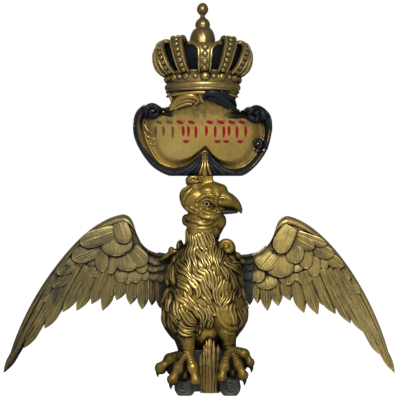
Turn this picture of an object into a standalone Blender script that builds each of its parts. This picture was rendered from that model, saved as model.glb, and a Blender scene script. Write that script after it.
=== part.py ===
"""A carved and gilded ark ornament: an eagle with spread wings that carries a crowned cartouche.

Metres, +Z up, the front faces -Y. The origin is under the middle of the whole width, on the ground.
"""

from math import cos, pi, radians, sin

import bmesh
import bpy
from mathutils import Euler, Matrix, Vector
from mathutils.bvhtree import BVHTree

# Driving dimensions
GAP = 0.0003
BACK_Y = 0.069
MIDDLE_X = 0.012

# The wing boards, in distance out from MIDDLE_X and height
WING_BACK_Y = 0.062
SEAM_OUT_RIGHT = 0.110
SEAM_OUT_LEFT = 0.1305
WRIST_OUT = 0.192
TIP_OUT = 0.437
LEFT_STRETCH = 1.112
WING_BOW = 0.014
STUB_OUT = 0.070

# The heights where one piece stands on the next
BIRD_TOP_Z = 0.503
CROWN_FOOT = Vector((0.006, 0.020, 0.692))
CROWN_LEAN = radians(7)
CROWN_SQUASH = 0.80
FINIAL_SEAT_Z = 0.106
FINIAL_ROOM_RADIUS = 0.0325

# How finely the solids are carved
WAX_VOXEL = 0.0036


def clean_scene():
    """An empty scene with one collection for the ornament and one for its cutters."""
    for obj in list(bpy.data.objects):
        bpy.data.objects.remove(obj, do_unlink=True)
    made = []
    for name in ("torah_crown", "cutters"):
        collection = bpy.data.collections.new(name)
        bpy.context.scene.collection.children.link(collection)
        made.append(collection)
    return made


ORNAMENT, CUTTERS = clean_scene()


def material(name, colour, metallic, roughness):
    """A plain Principled finish."""
    made = bpy.data.materials.new(name)
    made.use_nodes = True
    shader = made.node_tree.nodes["Principled BSDF"]
    shader.inputs["Base Color"].default_value = (*colour, 1)
    shader.inputs["Metallic"].default_value = metallic
    shader.inputs["Roughness"].default_value = roughness
    made.diffuse_color = (*colour, 1)
    return made


def object_from(shape, name, collection=ORNAMENT):
    """A named object that holds what was modelled in a bmesh."""
    bmesh.ops.recalc_face_normals(shape, faces=shape.faces)
    mesh = bpy.data.meshes.new(name)
    shape.to_mesh(mesh)
    shape.free()
    obj = bpy.data.objects.new(name, mesh)
    collection.objects.link(obj)
    return obj


def settled(obj):
    """Gives the object the mesh that its modifiers make, and drops the modifiers."""
    bpy.context.view_layer.update()
    graph = bpy.context.evaluated_depsgraph_get()
    mesh = bpy.data.meshes.new_from_object(obj.evaluated_get(graph))
    obj.modifiers.clear()
    obj.data = mesh
    return obj


def discard(*objects):
    for obj in objects:
        bpy.data.objects.remove(obj, do_unlink=True)


def block(low, high, name, collection=CUTTERS):
    """A box between two corners, hidden when it is a cutter."""
    shape = bmesh.new()
    middle = (Vector(low) + Vector(high)) / 2
    size = Vector(high) - Vector(low)
    matrix = Matrix.LocRotScale(middle, None, size)
    bmesh.ops.create_cube(shape, size=1, matrix=matrix)
    obj = object_from(shape, name, collection)
    obj.hide_render = collection == CUTTERS
    obj.display_type = "WIRE"
    return obj


def boolean(obj, other, operation):
    modifier = obj.modifiers.new(f"{operation.lower()} {other.name}", "BOOLEAN")
    modifier.operation = operation
    if isinstance(other, bpy.types.Collection):
        modifier.operand_type = "COLLECTION"
        modifier.collection = other
    else:
        modifier.object = other
    modifier.solver = "EXACT"
    return settled(obj)


# Clay: soft forms that are pressed together and carved as one


def ball(clay, centre, radii, lean=(0, 0, 0)):
    """An egg of clay. A single radius makes a round ball."""
    radii = radii if hasattr(radii, "__len__") else (radii,) * 3
    matrix = Matrix.LocRotScale(Vector(centre), Euler(lean), Vector(radii))
    bmesh.ops.create_icosphere(clay, subdivisions=3, radius=1, matrix=matrix)


def limb(clay, stations, sides=16):
    """A tapering limb through stations of (x, y, z, radius), round at every station."""
    for x, y, z, radius in stations:
        bmesh.ops.create_icosphere(clay, subdivisions=2, radius=radius, matrix=Matrix.Translation((x, y, z)))
    for start, end in zip(stations, stations[1:]):
        a, b = Vector(start[:3]), Vector(end[:3])
        along = b - a
        turn = along.to_track_quat("Z", "Y").to_matrix().to_4x4()
        bmesh.ops.create_cone(
            clay,
            cap_ends=True,
            segments=sides,
            radius1=start[3],
            radius2=end[3],
            depth=along.length,
            matrix=Matrix.Translation((a + b) / 2) @ turn,
        )


def slab(clay, low, high):
    """A square-edged lump of clay."""
    middle = (Vector(low) + Vector(high)) / 2
    size = Vector(high) - Vector(low)
    bmesh.ops.create_cube(clay, size=1, matrix=Matrix.LocRotScale(middle, None, size))


def scroll(clay, centre, radius, depth, thickness, turns, start, hand):
    """A roll that winds into its centre in the plane of the front, standing out to depth."""
    steps = int(turns * 12)
    stations = []
    for i in range(steps + 1):
        t = i / steps
        angle = start + hand * turns * 2 * pi * t
        reach = radius * (1 - 0.86 * t)
        x = centre[0] + reach * cos(angle)
        z = centre[2] + reach * sin(angle)
        stations.append((x, centre[1] - depth * t, z, thickness * (1 - 0.45 * t)))
    limb(clay, stations, 8)


def fused(clay, name, voxel=WAX_VOXEL, soften=3, faces=2000):
    """One closed skin round all the clay, softened, then brought down to a number of triangles."""
    obj = object_from(clay, name)
    skin = obj.modifiers.new("skin", "REMESH")
    skin.mode = "VOXEL"
    skin.voxel_size = voxel
    softener = obj.modifiers.new("soften", "SMOOTH")
    softener.factor = 0.5
    softener.iterations = soften
    settled(obj)
    return thinned(obj, faces)


def thinned(obj, faces):
    """The same form in about that many triangles."""
    have = sum(len(face.vertices) - 2 for face in obj.data.polygons)
    fewer = obj.modifiers.new("fewer faces", "DECIMATE")
    fewer.use_collapse_triangulate = True
    fewer.ratio = min(1, faces / have)
    return settled(obj)


# The wings: boards carved with rows of overlapping feathers, drawn flat and then bowed


def bezier(corners, t):
    a, b, c, d = (Vector(corner) for corner in corners)
    s = 1 - t
    return a * s**3 + b * (3 * s * s * t) + c * (3 * s * t * t) + d * t**3


# The rounded pad along the top of the wing: its outer edge, and the inner edge it slopes down to
SHOULDER_EDGE = ((0.060, 0.322), (0.195, 0.315), (0.138, 0.412), (WRIST_OUT, 0.411))
LEADING_EDGE = ((WRIST_OUT, 0.411), (0.288, 0.389), (0.403, 0.212), (TIP_OUT, 0.050))
SHOULDER_INSIDE = ((0.060, 0.258), (0.120, 0.258), (0.165, 0.290), (0.190, 0.318))
LEADING_INSIDE = ((0.190, 0.318), (0.265, 0.345), (0.330, 0.250), (0.428, 0.058))
FLIGHT_ROOTS = ((0.086, 0.270), (0.210, 0.275), (0.270, 0.300), (0.316, 0.290))
# Tips of the flight feathers from the body outward, as far as they reach in the picture
FLIGHT_TIPS = {
    -1: (
        (0.080, 0.203), (0.1015, 0.200), (0.118, 0.205), (0.142, 0.195), (0.168, 0.204), (0.197, 0.212),
        (0.227, 0.187), (0.250, 0.202), (0.282, 0.188), (0.311, 0.186), (0.349, 0.150), (0.392, 0.105),
        (TIP_OUT, 0.048),
    ),
    1: (
        (0.078, 0.204), (0.099, 0.206), (0.117, 0.210), (0.138, 0.193), (0.164, 0.204), (0.190, 0.216),
        (0.222, 0.187), (0.254, 0.183), (0.294, 0.183), (0.331, 0.162), (0.365, 0.139), (0.404, 0.085),
        (TIP_OUT, 0.048),
    ),
}
# Each row of scale feathers: curve of their tips, how many, length at the body and outside, width, height
SCALE_ROWS = (
    (((0.080, 0.236), (0.190, 0.238), (0.290, 0.275), (0.358, 0.205)), 9, 0.050, 0.062, 0.037, 0.017),
    (((0.086, 0.268), (0.170, 0.254), (0.250, 0.318), (0.330, 0.248)), 7, 0.036, 0.062, 0.042, 0.022),
    (((0.108, 0.292), (0.170, 0.272), (0.230, 0.350), (0.300, 0.300)), 5, 0.028, 0.056, 0.046, 0.026),
)


def on_board(out, up, height, side):
    """A point of a wing on its flat board, height forward of the board's back.

    The left wing reaches further beyond its wrist than the right one, and arches a little higher.
    """
    if side < 0:
        up += 0.005 * sin(pi * max(0.0, min(1.0, (out - 0.130) / 0.200)))
        out += max(0.0, out - WRIST_OUT) * (LEFT_STRETCH - 1)
    return Vector((MIDDLE_X + side * out, WING_BACK_Y - height, up))


def bowed(wing):
    """Bends a finished flat board forward, most of all half way out."""
    for vertex in wing.data.vertices:
        reach = (abs(vertex.co.x - MIDDLE_X) - STUB_OUT) / (TIP_OUT - STUB_OUT)
        vertex.co.y -= WING_BOW * sin(pi * max(0.0, min(1.0, reach)))
    return wing


def loft(rings, name):
    """A closed skin through rings with the same number of points."""
    shape = bmesh.new()
    loops = [[shape.verts.new(point) for point in ring] for ring in rings]
    count = len(loops[0])
    for lower, upper in zip(loops, loops[1:]):
        for i in range(count):
            j = (i + 1) % count
            shape.faces.new((lower[i], lower[j], upper[j], upper[i]))
    shape.faces.new(loops[0])
    shape.faces.new(reversed(loops[-1]))
    return object_from(shape, name)


def feather(side, root, tip, width, face, lift, ends):
    """One carved feather: its quill stands up as a ridge, and its face rises from root to tip."""
    root, tip = Vector(root), Vector(tip)
    along = tip - root
    across = Vector((-along.y, along.x)).normalized()
    rings = []
    for t, share in ends:
        centre = root + along * t
        half = width / 2 * share
        edge = face + lift * t - 0.0025
        rings.append(
            [
                on_board(*(centre - across * half), -0.004, side),
                on_board(*(centre - across * half), edge, side),
                on_board(*centre, edge + 0.005, side),
                on_board(*(centre + across * half), edge, side),
                on_board(*(centre + across * half), -0.004, side),
            ]
        )
    return loft(rings, "feather")


LONG_ENDS = ((0, 0.8), (0.62, 1.0), (0.88, 0.75), (1, 0.12))
SCALE_ENDS = ((0, 0.6), (0.55, 1.0), (0.84, 0.86), (1, 0.36))


def pad(side, count=15):
    """The rounded top of the wing, from the shoulder over the wrist to the tip."""
    rings = []
    for i in range(count):
        if i < 6:
            t = 1 - (1 - i / 6) ** 1.4
            outer, inner = bezier(SHOULDER_EDGE, t), bezier(SHOULDER_INSIDE, t)
        else:
            t = ((i - 6) / (count - 7)) ** 1.3
            outer, inner = bezier(LEADING_EDGE, t), bezier(LEADING_INSIDE, t)
        share = i / (count - 1)
        crown = 0.036 - 0.021 * share
        foot = 0.027 - 0.013 * share
        spots = ((0, -0.004), (0, crown * 0.45), (0.10, crown * 0.86), (0.34, crown), (1, foot), (1, -0.004))
        rings.append([on_board(*outer.lerp(inner, reach), height, side) for reach, height in spots])
    return loft(rings, "pad")


def whole_wing(name, side):
    """Pad, flight feathers and scale rows as one board, from inside the body out to the tip."""
    board = pad(side)
    feathers = bpy.data.collections.new("feathers")
    bpy.context.scene.collection.children.link(feathers)
    made = []
    tips = FLIGHT_TIPS[side]
    for i, tip in enumerate(tips):
        root = bezier(FLIGHT_ROOTS, (tip[0] - tips[0][0]) / (TIP_OUT - tips[0][0]))
        step = (tips[min(i + 1, 12)][0] - tips[max(i - 1, 0)][0]) / (2 if 0 < i < 12 else 1)
        width = min(0.040, max(0.030, step + 0.008)) if i < 12 else 0.024
        made.append(feather(side, root, tip, width, 0.0105 + 0.0014 * (i % 2), 0.001, LONG_ENDS))
    for tips, count, short, long, width, face in SCALE_ROWS:
        for i in range(count):
            t = i / (count - 1)
            tip = bezier(tips, t)
            lean = radians(-8 + 50 * t)
            root = tip + Vector((-sin(lean), cos(lean))) * (short + (long - short) * min(1, 1.6 * t))
            made.append(feather(side, root, tip, width, face - 0.001, 0.003, SCALE_ENDS))
    for blade in made:
        feathers.objects.link(blade)
        ORNAMENT.objects.unlink(blade)
    boolean(board, feathers, "UNION")
    behind = block((-0.7, WING_BACK_Y, -0.1), (0.7, 0.2, 0.6), "behind")
    boolean(board, behind, "DIFFERENCE")
    discard(behind, *made)
    bpy.data.collections.remove(feathers)
    board.name = name
    return board


def seam_halves(wing, seam_out, side):
    """Cuts a wing at its seam: the outer board, and the stub that stays on the body."""
    stub = wing.copy()
    stub.data = wing.data.copy()
    ORNAMENT.objects.link(stub)
    seam_x = MIDDLE_X + side * seam_out
    far = MIDDLE_X + side * 0.6
    inner = sorted((seam_x + side * GAP, MIDDLE_X))
    outer = sorted((seam_x, far))
    inner_box = block((inner[0], -0.2, 0), (inner[1], 0.2, 0.6), "inner cutter")
    outer_box = block((outer[0], -0.2, 0), (outer[1], 0.2, 0.6), "outer cutter")
    boolean(wing, inner_box, "DIFFERENCE")
    boolean(stub, outer_box, "DIFFERENCE")
    discard(inner_box, outer_box)
    return bowed(wing), bowed(stub)


# The eagle


def torso(clay):
    """Breast, belly, shoulders and the thighs that hang from them."""
    ball(clay, (0.010, 0.022, 0.268), (0.086, 0.070, 0.086))
    ball(clay, (0.010, 0.020, 0.215), (0.096, 0.062, 0.070))
    ball(clay, (0.008, 0.025, 0.330), (0.060, 0.050, 0.055))
    ball(clay, (0.014, 0.022, 0.145), (0.050, 0.040, 0.055))
    for x, z in ((-0.043, 0.192), (0.062, 0.193)):
        ball(clay, (x, 0.008, z), (0.045, 0.056, 0.056))
    limb(clay, ((-0.042, 0.002, 0.168, 0.038), (-0.033, -0.008, 0.128, 0.025)))
    limb(clay, ((0.062, 0.002, 0.172, 0.037), (0.062, -0.008, 0.134, 0.023)))
    slab(clay, (-0.058, 0.020, 0.150), (0.080, BACK_Y + 0.01, 0.330))


def neck_and_head(clay):
    """A thick neck, a turned head with a strong brow, and the ruff under the jaw."""
    limb(clay, ((0.006, 0.020, 0.318, 0.050), (0.005, 0.012, 0.366, 0.037), (0.005, 0.008, 0.420, 0.036)))
    ball(clay, (0.000, 0.004, 0.450), (0.042, 0.036, 0.036))
    ball(clay, (0.032, -0.001, 0.464), (0.034, 0.030, 0.030))
    ball(clay, (-0.030, 0.008, 0.454), (0.021, 0.026, 0.024))
    ball(clay, (0.022, 0.000, 0.414), (0.030, 0.034, 0.022))
    ball(clay, (0.049, 0.010, 0.398), (0.013, 0.018, 0.022))
    ball(clay, (-0.034, 0.012, 0.402), (0.008, 0.012, 0.014))
    limb(clay, ((-0.006, -0.026, 0.456, 0.006), (0.016, -0.031, 0.459, 0.007), (0.038, -0.026, 0.452, 0.006)))
    ball(clay, (0.0154, -0.026, 0.439), 0.0085)


def beak(clay):
    """The hooked upper bill over a shorter lower one."""
    limb(
        clay,
        (
            (0.050, -0.003, 0.450, 0.0225),
            (0.064, -0.006, 0.447, 0.0205),
            (0.078, -0.008, 0.439, 0.0165),
            (0.088, -0.009, 0.430, 0.0105),
            (0.0930, -0.010, 0.4205, 0.0055),
            (0.0942, -0.010, 0.4165, 0.0032),
        ),
    )
    limb(clay, ((0.040, -0.004, 0.423, 0.011), (0.064, -0.007, 0.4215, 0.0058), (0.080, -0.009, 0.420, 0.0040)))


def crest(clay):
    """The rolled block on the head that the cartouche stands on."""
    ball(clay, (-0.010, 0.000, 0.489), (0.023, 0.026, 0.015))
    limb(clay, ((-0.004, 0.012, 0.486, 0.026), (0.010, 0.012, 0.510, 0.021)))
    ball(clay, (0.030, 0.004, 0.478), (0.022, 0.024, 0.010))


def shoulder_curls(clay):
    """The scrolled tufts that stand up behind the neck."""
    scroll(clay, (0.060, 0.022, 0.339), 0.012, 0.012, 0.009, 1.2, radians(200), -1)
    ball(clay, (0.062, 0.022, 0.335), (0.015, 0.016, 0.020))
    ball(clay, (0.086, 0.018, 0.320), 0.0095)
    limb(clay, ((0.076, 0.030, 0.318, 0.012), (0.106, 0.036, 0.306, 0.010)))
    ball(clay, (-0.048, 0.024, 0.340), (0.009, 0.012, 0.017))
    limb(clay, ((-0.050, 0.030, 0.326, 0.012), (-0.082, 0.034, 0.314, 0.009)))


LEFT_TOES = (
    ((-0.038, -0.020, 0.092, 0.012), (-0.070, -0.034, 0.079, 0.0130), (-0.089, -0.040, 0.064, 0.0122)),
    ((-0.034, -0.028, 0.086, 0.012), (-0.050, -0.046, 0.062, 0.0122), (-0.064, -0.053, 0.040, 0.0118)),
    ((-0.030, -0.030, 0.086, 0.011), (-0.021, -0.048, 0.066, 0.0112), (-0.0115, -0.052, 0.042, 0.0102)),
)
RIGHT_TOES = (
    ((0.070, -0.018, 0.100, 0.011), (0.098, -0.034, 0.098, 0.0115), (0.113, -0.040, 0.081, 0.0115)),
    ((0.072, -0.026, 0.098, 0.012), (0.089, -0.046, 0.072, 0.0118), (0.102, -0.052, 0.048, 0.0112)),
    ((0.066, -0.026, 0.092, 0.011), (0.058, -0.046, 0.066, 0.0112), (0.052, -0.051, 0.046, 0.0102)),
)


def foot(clay, ankle, toes):
    """An ankle, the web of the foot, and three knuckled toes, each with a curved claw."""
    x, y, z = ankle
    limb(clay, ((x, y, z + 0.030, 0.017), (x, y - 0.008, z, 0.015), (x, y - 0.016, z - 0.014, 0.016)))
    for toe in toes:
        limb(clay, toe)
        knuckle, end = Vector(toe[1][:3]), Vector(toe[2][:3])
        onward = (end - knuckle).normalized()
        middle = end + onward * 0.011 + Vector((0, -0.003, -0.004))
        point = end + onward * 0.013 + Vector((0, 0.001, -0.015))
        limb(clay, ((*end, 0.0075), (*middle, 0.0052), (*point, 0.0018)), 8)
    for one, other in zip(toes, toes[1:]):
        web = (Vector(one[1][:3]) + Vector(other[1][:3])) / 2
        ball(clay, (web.x, web.y + 0.016, web.z - 0.008), (0.015, 0.016, 0.022))


def tail(clay):
    """Upright tail feathers, side by side, narrowing to a point under the belly."""
    count = 5
    for i in range(count):
        across = i / (count - 1) - 0.5
        x = 0.0225 + across * 0.032
        top = 0.128 - 0.10 * abs(across) ** 1.5
        forward = -0.026 + 0.024 * abs(across)
        stations = (
            (x, forward + 0.004, 0.011, 0.0068),
            (x + across * 0.010, forward, 0.085, 0.0082),
            (x * 0.6 + 0.009, forward + 0.008, top, 0.005),
        )
        limb(clay, stations)
    slab(clay, (0.002, -0.012, 0.006), (0.043, BACK_Y + 0.01, 0.120))


def base(clay):
    """The scrolled plinth behind the claws, which the whole ornament stands on."""
    for x, hand in ((-0.0345, 1), (0.069, -1)):
        limb(clay, ((x, -0.018, 0.0205, 0.0245), (x, BACK_Y + 0.02, 0.0205, 0.0245)), 24)
        ball(clay, (x - 0.004, -0.038, 0.022), (0.007, 0.007, 0.007))
        scroll(clay, (x - 0.004, -0.040, 0.021), 0.016, 0.002, 0.0042, 1.3, radians(-60), hand)
    slab(clay, (-0.046, 0.002, 0.012), (0.086, BACK_Y + 0.01, 0.105))


def flow(point):
    """The way the carved locks run at a point of the bird."""
    x, _, z = point
    if z > 0.235:
        return Vector((0.35 * sin((z - 0.2) * 36) + 1.6 * (x - 0.010), -0.1, -1))
    ankle = Vector((-0.030 if x < 0.014 else 0.064, 0, 0.10))
    return (ankle - Vector(point)) + Vector((0, 0, -0.03))


def locks(body, levels, per_level, length, radius):
    """Wavy locks of feathering laid over neck, breast and thighs, each a tapering cord on the skin."""
    skin = bmesh.new()
    skin.from_mesh(body.data)
    tree = BVHTree.FromBMesh(skin)
    skin.free()
    curve = bpy.data.curves.new("locks", "CURVE")
    curve.dimensions = "3D"
    curve.bevel_depth = 0.001
    curve.bevel_resolution = 1
    curve.use_fill_caps = True
    steps = 6
    for level in range(levels):
        z = 0.395 - 0.235 * level / (levels - 1)
        for k in range(per_level):
            angle = radians(-75 + 150 * (k + 0.5 * (level % 2)) / (per_level - 0.5))
            outward = Vector((sin(angle), -cos(angle), 0))
            start = tree.ray_cast(Vector((0.008, 0.030, z)), outward)[0]
            if start is None:
                continue
            spline = curve.splines.new("POLY")
            spline.points.add(steps - 1)
            spot = start
            for i in range(steps):
                t = i / (steps - 1)
                near, normal, _, _ = tree.find_nearest(spot)
                lift = radius * (-0.4 + 0.5 * t)
                spline.points[i].co = (*(near + normal * lift), 1)
                spline.points[i].radius = 1000 * radius * (0.35 + 0.65 * sin(pi * (0.15 + 0.8 * t)))
                way = flow(near)
                way = (way - normal * way.dot(normal)).normalized()
                side = way.cross(normal)
                spot = near + (way + side * 0.45 * cos(2 * pi * t + level)) * length / steps
    cords = bpy.data.objects.new("locks", curve)
    ORNAMENT.objects.link(cords)
    bpy.context.view_layer.update()
    graph = bpy.context.evaluated_depsgraph_get()
    mesh = bpy.data.meshes.new_from_object(cords.evaluated_get(graph))
    discard(cords)
    return mesh


def add_mesh(clay, mesh):
    """Presses a finished mesh into the clay, its loose caps closed."""
    extra = bmesh.new()
    extra.from_mesh(mesh)
    bmesh.ops.remove_doubles(extra, verts=extra.verts, dist=1e-5)
    scrap = bpy.data.meshes.new("scrap")
    extra.to_mesh(scrap)
    extra.free()
    clay.from_mesh(scrap)
    bpy.data.meshes.remove(scrap)


def eagle(stubs):
    """The bird with its plinth, carved as one: flat behind, flat under the plinth and on the crest."""
    clay = bmesh.new()
    torso(clay)
    neck_and_head(clay)
    smooth_body = fused(clay.copy(), "smooth body", 0.006, 4, 6000)
    cords = locks(smooth_body, 8, 6, 0.066, 0.0085)
    discard(smooth_body)
    add_mesh(clay, cords)
    beak(clay)
    crest(clay)
    shoulder_curls(clay)
    foot(clay, (-0.030, -0.004, 0.100), LEFT_TOES)
    foot(clay, (0.064, -0.004, 0.108), RIGHT_TOES)
    tail(clay)
    base(clay)
    for stub in stubs:
        add_mesh(clay, stub.data)
    body = fused(clay, "eagle", WAX_VOXEL, 2, 3960)
    far = 0.7
    walls = (
        ((-far, BACK_Y, -far), (far, far, 2 * far)),
        ((-far, -far, -far), (far, far, 0)),
        ((-far, -far, BIRD_TOP_Z), (far, far, 2 * far)),
        ((-far, -far, 0.160), (MIDDLE_X - SEAM_OUT_LEFT, far, 2 * far)),
        ((MIDDLE_X + SEAM_OUT_RIGHT, -far, 0.160), (far, far, 2 * far)),
    )
    for low, high in walls:
        cutter = block(low, high, "wall")
        boolean(body, cutter, "DIFFERENCE")
        discard(cutter)
    return body


# The cartouche: a scrolled shield with a rolled border, its neck under the crown

# The outline from the front, from under the crown down the left side and back up the right side
SHIELD_OUTLINE = (
    (-0.076, 0.720), (-0.076, 0.692), (-0.067, 0.675), (-0.072, 0.663), (-0.090, 0.660), (-0.110, 0.668),
    (-0.130, 0.663), (-0.145, 0.649), (-0.153, 0.625), (-0.153, 0.602), (-0.147, 0.581), (-0.137, 0.561),
    (-0.123, 0.540), (-0.105, 0.521), (-0.078, 0.506), (-0.050, 0.500), (-0.020, 0.500), (0.020, 0.500),
    (0.064, 0.500), (0.098, 0.504), (0.120, 0.518), (0.140, 0.540), (0.154, 0.563), (0.162, 0.589),
    (0.165, 0.613), (0.161, 0.635), (0.148, 0.651), (0.130, 0.659), (0.108, 0.658), (0.092, 0.653),
    (0.083, 0.662), (0.081, 0.676), (0.087, 0.694), (0.087, 0.720),
)
SHIELD_MIDDLE = Vector((0.0064, 0.600))
# Each ring of the relief: its size against the outline, and how far it stands from the origin's plane
SHIELD_RINGS = (
    (0.92, 0.055), (1.0, 0.040), (1.0, 0.004), (0.965, -0.008), (0.915, -0.010), (0.88, 0.000), (0.80, -0.002),
    (0.45, -0.016),
)


def neck_flare(point):
    """The upper part of the shield leans forward to carry the crown's front."""
    rise = max(0.0, min(1.0, (point.z - 0.640) / 0.065))
    front = max(0.0, min(1.0, (0.040 - point.y) / 0.040))
    width = max(0.0, 1 - ((point.x - CROWN_FOOT.x) / 0.095) ** 2)
    return Vector((0, -0.036 * rise * rise * front * width, 0))


def crown_frame():
    """Places the crown's own space, z up its axis, on the neck of the cartouche."""
    return Matrix.Translation(CROWN_FOOT) @ Matrix.Rotation(-CROWN_LEAN, 4, "X")


def cartouche():
    """The shield, its corner curls and leaves, and the flats under the crown and on the bird's crest."""
    rings = []
    for size, y in SHIELD_RINGS:
        ring = []
        for x, z in SHIELD_OUTLINE:
            spot = SHIELD_MIDDLE + (Vector((x, z)) - SHIELD_MIDDLE) * size
            point = Vector((spot.x, y, spot.y))
            ring.append(point + neck_flare(point))
        rings.append(ring)
    shield = loft(rings, "cartouche")
    lumps = []
    for (x, y, z), radii in (
        ((-0.112, 0.002, 0.648), (0.022, 0.018, 0.016)),
        ((0.126, 0.004, 0.646), (0.021, 0.018, 0.015)),
        ((0.133, 0.004, 0.571), (0.013, 0.014, 0.013)),
        ((-0.038, -0.018, 0.686), (0.026, 0.016, 0.014)),
        ((0.032, -0.020, 0.684), (0.030, 0.016, 0.015)),
        ((-0.012, -0.006, 0.532), (0.017, 0.012, 0.026)),
        ((0.034, -0.006, 0.530), (0.017, 0.012, 0.026)),
        ((0.010, -0.012, 0.524), (0.0075, 0.011, 0.028)),
    ):
        clay = bmesh.new()
        matrix = Matrix.LocRotScale(Vector((x, y, z)), None, Vector(radii))
        bmesh.ops.create_uvsphere(clay, u_segments=10, v_segments=6, radius=1, matrix=matrix)
        lumps.append(object_from(clay, "lump"))
    for lump in lumps:
        boolean(shield, lump, "UNION")
    discard(*lumps)
    above = block((-0.3, -0.3, -GAP), (0.3, 0.3, 0.3), "above")
    above.data.transform(crown_frame())
    below = block((-0.3, -0.3, 0.3), (0.3, 0.3, BIRD_TOP_Z + GAP), "below")
    for cutter in (above, below):
        boolean(shield, cutter, "DIFFERENCE")
    discard(above, below)
    return thinned(shield, 1280)


# The crown: a jewelled band, arched straps over a darker core, flat behind

# Radius and height of the core, from the foot ring up over the rim to the seat of the knob
CORE_PROFILE = (
    (0.0810, 0.000), (0.0850, 0.007), (0.0805, 0.015), (0.0840, 0.034), (0.0900, 0.038), (0.0890, 0.044),
    (0.0990, 0.062), (0.1040, 0.080), (0.0990, 0.097), (0.0900, 0.097), (0.0600, 0.092), (0.0340, 0.099),
    (FINIAL_ROOM_RADIUS, FINIAL_SEAT_Z),
)
# Radius and height along the middle of a strap, and how its edges stand
STRAP_LINE = (
    (0.0880, 0.036), (0.1050, 0.053), (0.1120, 0.072), (0.1125, 0.090), (0.1070, 0.106), (0.0960, 0.1155),
    (0.0820, 0.1165), (0.0640, 0.108), (0.0300, 0.094),
)
STRAP_SECTION = (
    (-0.018, -0.007), (-0.018, 0.002), (-0.012, 0.0025), (-0.009, -0.0015), (0.009, -0.0015),
    (0.012, 0.0025), (0.018, 0.002), (0.018, -0.007),
)
# Where each strap leaves the band, in degrees round from the front, and how high it arches
STRAPS = ((-82, 0.98), (-53, 1.03), (-25.5, 1.10), (2.5, 0.90), (29.5, 1.08), (56, 1.0), (84, 0.98))


def crown_spot(radius, around, z):
    return Vector((radius * sin(around), -CROWN_SQUASH * radius * cos(around), z))


def crown_core():
    steps = 24
    rings = []
    for radius, z in CORE_PROFILE:
        rings.append([crown_spot(radius, 2 * pi * k / steps, z) for k in range(steps)])
    return loft(rings, "crown")


def strap(degrees, height):
    """One arched strap with raised edges, spreading away from its neighbours as it climbs."""
    line = []
    for radius, z in STRAP_LINE:
        rise = min(1.0, (z - 0.040) / 0.075) if radius > 0.09 else 1.0
        around = radians(degrees * (1 + 0.36 * rise * rise) if abs(degrees) < 80 else degrees)
        line.append((crown_spot(radius, around, 0.040 + (z - 0.040) * height), around, radius))
    rings = []
    for i, (spot, around, radius) in enumerate(line):
        along = line[min(i + 1, len(line) - 1)][0] - line[max(i - 1, 0)][0]
        across = Vector((cos(around), CROWN_SQUASH * sin(around), 0)).normalized()
        outward = across.cross(along).normalized()
        if outward.dot(Vector((sin(around), -cos(around), 0.8))) < 0:
            outward = -outward
        narrow = 1.0 if radius > 0.09 else max(0.38, radius / 0.09)
        rings.append([spot + across * (t * narrow) + outward * n for t, n in STRAP_SECTION])
    return loft(rings, "strap")


def crown():
    core = crown_core()
    parts = [strap(degrees, height) for degrees, height in STRAPS]
    for piece in parts:
        boolean(core, piece, "UNION")
    discard(*parts)
    room = bmesh.new()
    bmesh.ops.create_cone(room, cap_ends=True, segments=28, radius1=FINIAL_ROOM_RADIUS, radius2=0.040, depth=0.1, matrix=Matrix.Translation((0, 0, FINIAL_SEAT_Z + 0.05)))
    room = object_from(room, "room for the knob", CUTTERS)
    boolean(core, room, "DIFFERENCE")
    discard(room)
    core.data.transform(crown_frame())
    behind = block((-0.3, 0.060, 0.5), (0.3, 0.3, 1.0), "behind")
    boolean(core, behind, "DIFFERENCE")
    discard(behind)
    return thinned(core, 1500)


# The turned knob on top: dome, smaller dome, neck and egg
FINIAL_PROFILE = (
    (0.0270, 0.1063), (0.0292, 0.113), (0.0295, 0.126), (0.0262, 0.140), (0.0195, 0.150), (0.0168, 0.1535),
    (0.0170, 0.160), (0.0140, 0.169), (0.0072, 0.1765), (0.0052, 0.181), (0.0095, 0.186), (0.0132, 0.195),
    (0.0112, 0.204), (0.0060, 0.210), (0.0015, 0.2118),
)


def finial():
    steps = 12
    rings = []
    for radius, z in FINIAL_PROFILE:
        rings.append([Vector((radius * cos(2 * pi * k / steps), radius * sin(2 * pi * k / steps), z)) for k in range(steps)])
    knob = loft(rings, "finial")
    knob.data.transform(crown_frame())
    return knob


def main():
    """Builds every piece and gives each its own finish."""
    finishes = {
        "eagle": ((0.30, 0.21, 0.08), 0.6, 0.42),
        "left_wing": ((0.27, 0.23, 0.12), 0.5, 0.48),
        "right_wing": ((0.33, 0.25, 0.11), 0.55, 0.45),
        "cartouche": ((0.34, 0.26, 0.10), 0.5, 0.45),
        "crown": ((0.30, 0.23, 0.10), 0.55, 0.45),
        "finial": ((0.28, 0.20, 0.09), 0.5, 0.45),
    }
    stubs = []
    pieces = []
    for name, side, seam_out in (("left_wing", -1, SEAM_OUT_LEFT), ("right_wing", 1, SEAM_OUT_RIGHT)):
        wing, stub = seam_halves(whole_wing(name, side), seam_out, side)
        pieces.append(wing)
        stubs.append(stub)
    pieces += [eagle(stubs), cartouche(), crown(), finial()]
    discard(*stubs)
    for piece in pieces:
        piece.data.materials.clear()
        piece.data.materials.append(material(f"{piece.name}_finish", *finishes[piece.name]))


main()
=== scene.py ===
# %% [markdown]
# # A carved and gilded eagle that carries a crown
#
# The real object is carved softwood, coated with chalk and glue, and gilded. An eagle with spread
# wings stands on two scrolls, and carries a scrolled shield with a crown and a turned knob on it.
# Each lesson below makes one part of it. First the imported solids are loaded as a frame: every
# visible piece that is made here stands exactly where its plain solid stands.

# %% Load the frame
from math import atan2, cos, pi, radians, sin

import bmesh
import bpy
import numpy as np
from mathutils import Matrix, Vector
from mathutils.bvhtree import BVHTree


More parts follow.
